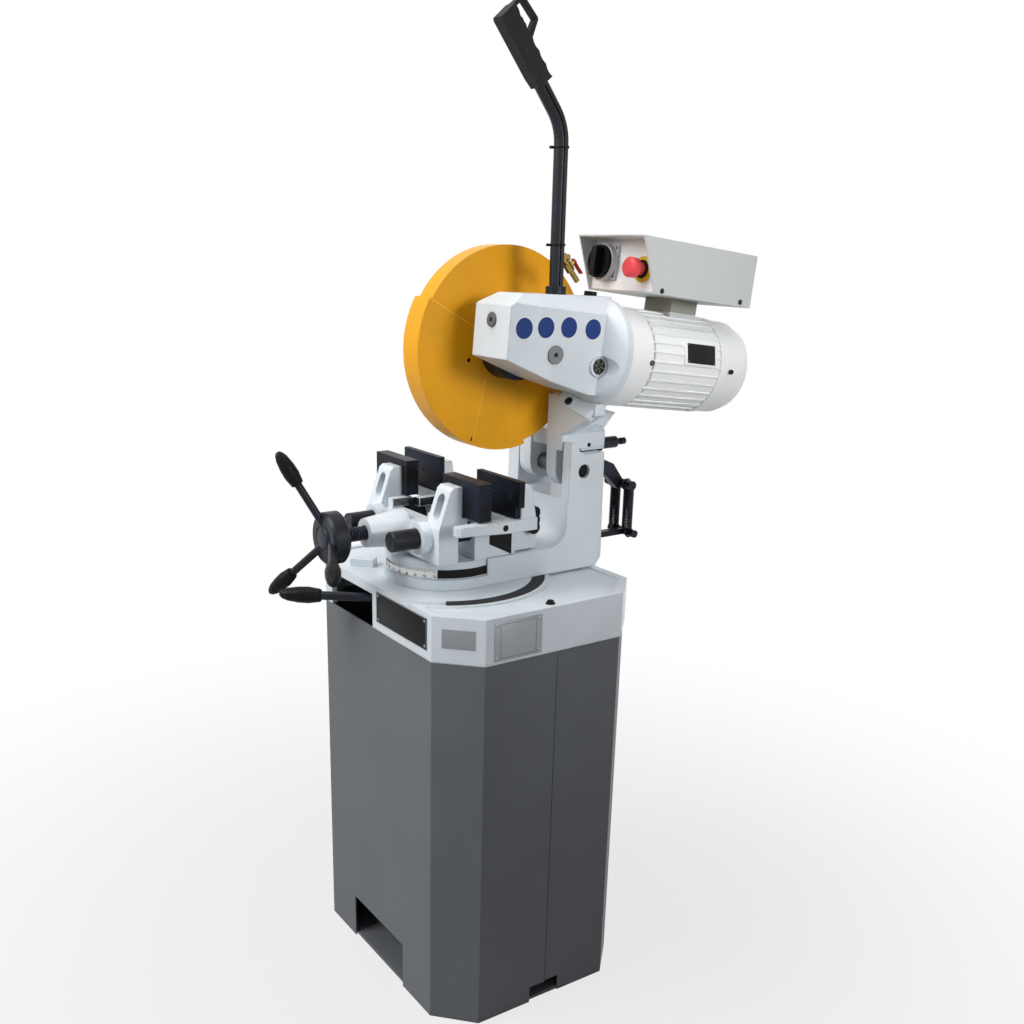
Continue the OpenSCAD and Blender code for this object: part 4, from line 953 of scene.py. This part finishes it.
class SAW_OT_vise_thread(bpy.types.Operator):
    """Threaded vise screw, the cap on the handwheel and the bar centres"""

    bl_idname = "saw.vise_thread"
    bl_label = "Vise thread"

    def execute(self, context):
        low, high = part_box("vise_screw")
        middle = (low + high) / 2
        self.screw(low, high, middle, context.scene.saw_sizes.thread_pitch)
        hub = face_along(FRONT, (middle.x, -0.336, middle.z))
        cap = bmesh.new()
        crown = [(0.0, 0.0034), (0.016, 0.0032), (0.0205, 0.0022), (0.0225, 0.0), (0.0, 0.0)]
        lathe(cap, crown, hub, 48)
        hoop(cap, hub @ at((0, 0, 0.0002)), 0.0268, 0.0011, 56)
        finish_piece("handwheel_cap", cap, "black_steel", "screw")
        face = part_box("guide_bars")[0].y
        ends = bmesh.new()
        for x in (-0.085, 0.085):
            disc(ends, face_along(FRONT, (x, face, middle.z)), 0.0036, 0.0003, 20)
        finish_piece("bar_centres", ends, "gap_black", "stand")
        return {"FINISHED"}

    def screw(self, low, high, middle, pitch):
        radius = (high.x - low.x) / 2
        root = radius - 0.0028
        foot = root - 0.0004
        tail = 0.009
        length = 0.170
        whole = high.y - low.y
        turn_steps = 24
        along = face_along(BACK, (middle.x, low.y, middle.z))
        shape = bmesh.new()
        core = [(0.0, 0.0), (root, 0.0), (root, length), (tail, length), (tail, whole), (0.0, whole)]
        lathe(shape, core, along, 40)
        known = set(shape.verts)
        profile = [(foot, 0.0), (radius, pitch * 0.22), (radius, pitch * 0.52), (foot, pitch * 0.74)]
        turns = int(length / pitch) - 1
        spin(shape, chain(shape, profile), TURN * turns, turn_steps * turns, pitch / turn_steps)
        ridge = {v for v in shape.verts if v not in known}
        rim = {e for v in ridge for e in v.link_edges if e.is_boundary}
        bmesh.ops.holes_fill(shape, edges=list(rim), sides=4)
        place_new(shape, known, along)
        piece = finish_piece("threaded_screw", shape, "black_steel", "screw", 30.0)
        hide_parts("vise_screw")


class SAW_OT_mitre_scale(bpy.types.Operator):
    """Graduated strip with its figures, and the dark band of the turntable"""

    bl_idname = "saw.mitre_scale"
    bl_label = "Mitre scale"

    def execute(self, context):
        low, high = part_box("mitre_scale")
        middle = (low + high) / 2
        radius = (high.x - low.x) / 2

        def on_band(degree, proud, z):
            """Matrix of a place on the band, with x pointing out of it."""
            turn = Matrix.Rotation(math.radians(degree), 4, "Z")
            out = at((radius + proud, 0, 0))
            return at((middle.x, middle.y, z)) @ turn @ out

        marks = bmesh.new()
        for degree in range(-190, -38, 2):
            tall = 0.0066 if degree % 10 == 0 else 0.0044
            slab(marks, (0.0006, 0.0009, tall), on_band(degree, 0.0001, high.z - 0.001 - tall / 2))
        for degree in range(-140, -39, 10):
            place = on_band(degree, 0.0002, low.z + 0.0012) @ UPRIGHT
            numeral(marks, str(abs(degree + 90)), 0.0062, place)
        finish_piece("scale_marks", marks, "gap_black", "stand")
        inner = radius - 0.0002
        outer = radius + 0.0012
        band = bmesh.new()
        ring = [(inner, low.z), (outer, low.z), (outer, high.z), (inner, high.z)]
        sector(band, ring, -37, 112, at((middle.x, middle.y, 0)))
        finish_piece("dark_band", band, "gap_black", "stand")
        return {"FINISHED"}


class SAW_OT_springs(bpy.types.Operator):
    """Two closely wound return springs with hooked ends"""

    bl_idname = "saw.springs"
    bl_label = "Return springs"

    def execute(self, context):
        wire = context.scene.saw_sizes.spring_wire
        self.coils(wire)
        low_hooks = bmesh.new()
        top_hooks = bmesh.new()
        for x in SPRING_PLACES:
            hoop(low_hooks, face_along(RIGHT, (x, 0.352, 0.900)), 0.0098, wire)
            hoop(top_hooks, face_along(RIGHT, (x, 0.338, 1.006)), 0.0118, wire)
        finish_piece("low_hooks", low_hooks, "black_steel", "arm")
        finish_piece("top_hooks", top_hooks, "black_steel", "head")
        return {"FINISHED"}

    def coils(self, wire):
        low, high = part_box("return_springs")
        coil = 0.0099
        bottom = low.z + wire
        top = high.z - wire
        middle = Vector((0.054, (low.y + high.y) / 2, 0.0))
        spacing = wire * 2.15
        curls = int((top - bottom) / spacing)
        curl_steps = 16
        steps = curls * curl_steps
        upright = Matrix.Rotation(math.radians(90), 3, "X")
        shape = bmesh.new()
        for x in SPRING_PLACES:
            known = set(shape.verts)
            ring = bmesh.ops.create_circle(shape, cap_ends=False, segments=10, radius=wire)["verts"]
            bmesh.ops.rotate(shape, cent=(0, 0, 0), matrix=upright, verts=ring)
            bmesh.ops.translate(shape, vec=(coil, 0, bottom), verts=ring)
            around = list({e for v in ring for e in v.link_edges})
            spin(shape, ring + around, TURN * curls, steps, (top - bottom) / steps)
            ends = {e for v in shape.verts if v not in known for e in v.link_edges if e.is_boundary}
            bmesh.ops.holes_fill(shape, edges=list(ends), sides=12)
            place_new(shape, known, at((x, middle.y, 0)))
        piece = finish_piece("spring_coils", shape, "black_steel", None, 60.0)
        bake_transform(piece)
        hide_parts("return_springs")


class SAW_OT_handle_trim(bpy.types.Operator):
    """Ties on the handle tube and screws of the grip"""

    bl_idname = "saw.handle_trim"
    bl_label = "Handle trim"

    def execute(self, context):
        tie = 0.0036
        ties = bmesh.new()
        for z in (1.489, 1.655):
            around = Vector((GEAR_MID, 0.091, z))
            seat = around - Vector((0, 0, tie / 2))
            washer(ties, at(seat), 0.0134, 0.0150, tie)
            washer(ties, at(seat + Vector((0.0163, 0, 0))), 0.0032, 0.0044, tie, 24)
            knot = around + Vector((-0.006, -0.0165, 0))
            slab(ties, (0.004, 0.008, 0.005), at(knot), 0.0008)
        finish_piece("tube_ties", ties, "black_plastic", "head")
        face = 0.0133
        screws = bmesh.new()
        for y, z in ((-0.003, 0.016), (-0.002, 0.062), (-0.006, 0.112)):
            for way, x in ((RIGHT, face), (LEFT, -face)):
                socket_screw(screws, GRIP @ face_along(way, (x, y, z)), 0.0032, 0.0009)
        finish_piece("grip_screws", screws, "black_steel", "head")
        return {"FINISHED"}


class SAW_OT_stage(bpy.types.Operator):
    """Pale floor, soft lamps and the camera"""

    bl_idname = "saw.stage"
    bl_label = "Stage"

    def execute(self, context):
        scene = context.scene
        scene.view_settings.view_transform = "Standard"
        scene.world = self.studio()
        self.floor(scene)
        self.lamps(scene)
        self.camera(scene)
        return {"FINISHED"}

    def studio(self):
        world = bpy.data.worlds.new("studio")
        sky = Shading(world)
        white = sky.node("ShaderNodeBackground", {}, {"Strength": 1.0, "Color": (1, 1, 1, 1)})
        fill = sky.node("ShaderNodeBackground", {}, {"Strength": 0.24, "Color": (0.96, 0.98, 1.0, 1)})
        both = sky.node("ShaderNodeMixShader", {}, {0: sky.seen(), 1: fill, 2: white})
        sky.feed(sky.tree.nodes["World Output"].inputs["Surface"], both)
        return world

    def floor(self, scene):
        shape = bmesh.new()
        bmesh.ops.create_grid(shape, x_segments=1, y_segments=1, size=14.0)
        mesh = bpy.data.meshes.new("floor")
        shape.to_mesh(mesh)
        shape.free()
        floor = bpy.data.objects.new("floor", mesh)
        scene.collection.objects.link(floor)
        pale = Finish("pale_floor")
        pale.set(Base_Color=(0.4, 0.4, 0.4, 1), Roughness=0.9)
        away = pale.node("ShaderNodeVectorMath", {"operation": "LENGTH"}, {0: pale.place}, "Value")
        near = 0.76
        part = pale.seen() * (near + away.above(0.45, 1.6) * (1.0 - near))
        glow = pale.node("ShaderNodeEmission", {}, {"Color": (1, 1, 1, 1)})
        lit = Value(pale, pale.shader.outputs[0])
        both = pale.node("ShaderNodeMixShader", {}, {0: part, 1: lit, 2: glow})
        pale.feed(pale.tree.nodes["Material Output"].inputs["Surface"], both)
        mesh.materials.append(pale.material)

    def lamps(self, scene):
        power = scene.saw_sizes.lamp_power
        for name, place, aim, size, spread, watts in (
            ("key_lamp", (-0.7, -3.2, 3.3), (0, 0, 1.0), 2.2, 180, power),
            ("top_lamp", (0.3, -0.3, 4.0), (0, 0, 1.0), 2.4, 180, power * 0.35),
            ("side_lamp", (2.8, 0.6, 1.9), (0.15, 0.25, 1.38), 0.9, 36, power * 0.0175),
        ):
            lamp = bpy.data.lights.new(name, "AREA")
            lamp.shape = "SQUARE"
            lamp.size = size
            lamp.spread = math.radians(spread)
            lamp.energy = watts
            holder = bpy.data.objects.new(name, lamp)
            holder.matrix_world = face_along(Vector(place) - Vector(aim), place)
            scene.collection.objects.link(holder)

    def camera(self, scene):
        place = Vector((1.8115, -1.2107, 1.5020))
        azimuth = math.radians(58.25)
        elevation = math.radians(17.48)
        roll = math.radians(0.29)
        flat = math.cos(elevation)
        back = Vector((math.sin(azimuth) * flat, -math.cos(azimuth) * flat, math.sin(elevation)))
        across = (-back).cross(Vector((0, 0, 1))).normalized()
        above = across.cross(-back)
        right = across * math.cos(roll) + above * math.sin(roll)
        up = above * math.cos(roll) - across * math.sin(roll)
        lens = bpy.data.cameras.new("camera")
        lens.sensor_width = 36.0
        lens.sensor_fit = "HORIZONTAL"
        lens.lens = 38.93
        lens.shift_x = 0.0753
        lens.shift_y = 0.0718
        lens.clip_end = 50.0
        camera = bpy.data.objects.new("camera", lens)
        turn = Matrix((right, up, back)).transposed().to_4x4()
        camera.matrix_world = at(place) @ turn
        scene.collection.objects.link(camera)
        scene.camera = camera


class SAW_PT_panel(bpy.types.Panel):
    bl_label = "Cold Saw"
    bl_idname = "SAW_PT_panel"
    bl_space_type = "VIEW_3D"
    bl_region_type = "UI"
    bl_category = "Cold Saw"

    def draw(self, context):
        for group in (context.scene.saw_sizes, context.scene.saw_colours):
            for name in group.__annotations__:
                self.layout.prop(group, name)
        for operator in OPERATORS:
            self.layout.operator(operator.bl_idname)


OPERATORS = (
    SAW_OT_stage,
    SAW_OT_finishes,
    SAW_OT_plates,
    SAW_OT_gearbox_trim,
    SAW_OT_guard_trim,
    SAW_OT_motor_trim,
    SAW_OT_box_trim,
    SAW_OT_vise_trim,
    SAW_OT_vise_thread,
    SAW_OT_mitre_scale,
    SAW_OT_springs,
    SAW_OT_handle_trim,
)
CLASSES = (SawColours, SawSizes) + OPERATORS + (SAW_PT_panel,)


def register():
    for entry in CLASSES:
        bpy.utils.register_class(entry)
    bpy.types.Scene.saw_colours = bpy.props.PointerProperty(type=SawColours)
    bpy.types.Scene.saw_sizes = bpy.props.PointerProperty(type=SawSizes)


def unregister():
    del bpy.types.Scene.saw_sizes
    del bpy.types.Scene.saw_colours
    for entry in reversed(CLASSES):
        bpy.utils.unregister_class(entry)


def main():
    register()
    bpy.ops.saw.stage()
    bpy.ops.saw.finishes()
    bpy.ops.saw.plates()
    bpy.ops.saw.gearbox_trim()
    bpy.ops.saw.guard_trim()
    bpy.ops.saw.motor_trim()
    bpy.ops.saw.box_trim()
    bpy.ops.saw.vise_trim()
    bpy.ops.saw.vise_thread()
    bpy.ops.saw.mitre_scale()
    bpy.ops.saw.springs()
    bpy.ops.saw.handle_trim()


if __name__ == "__main__":
    main()
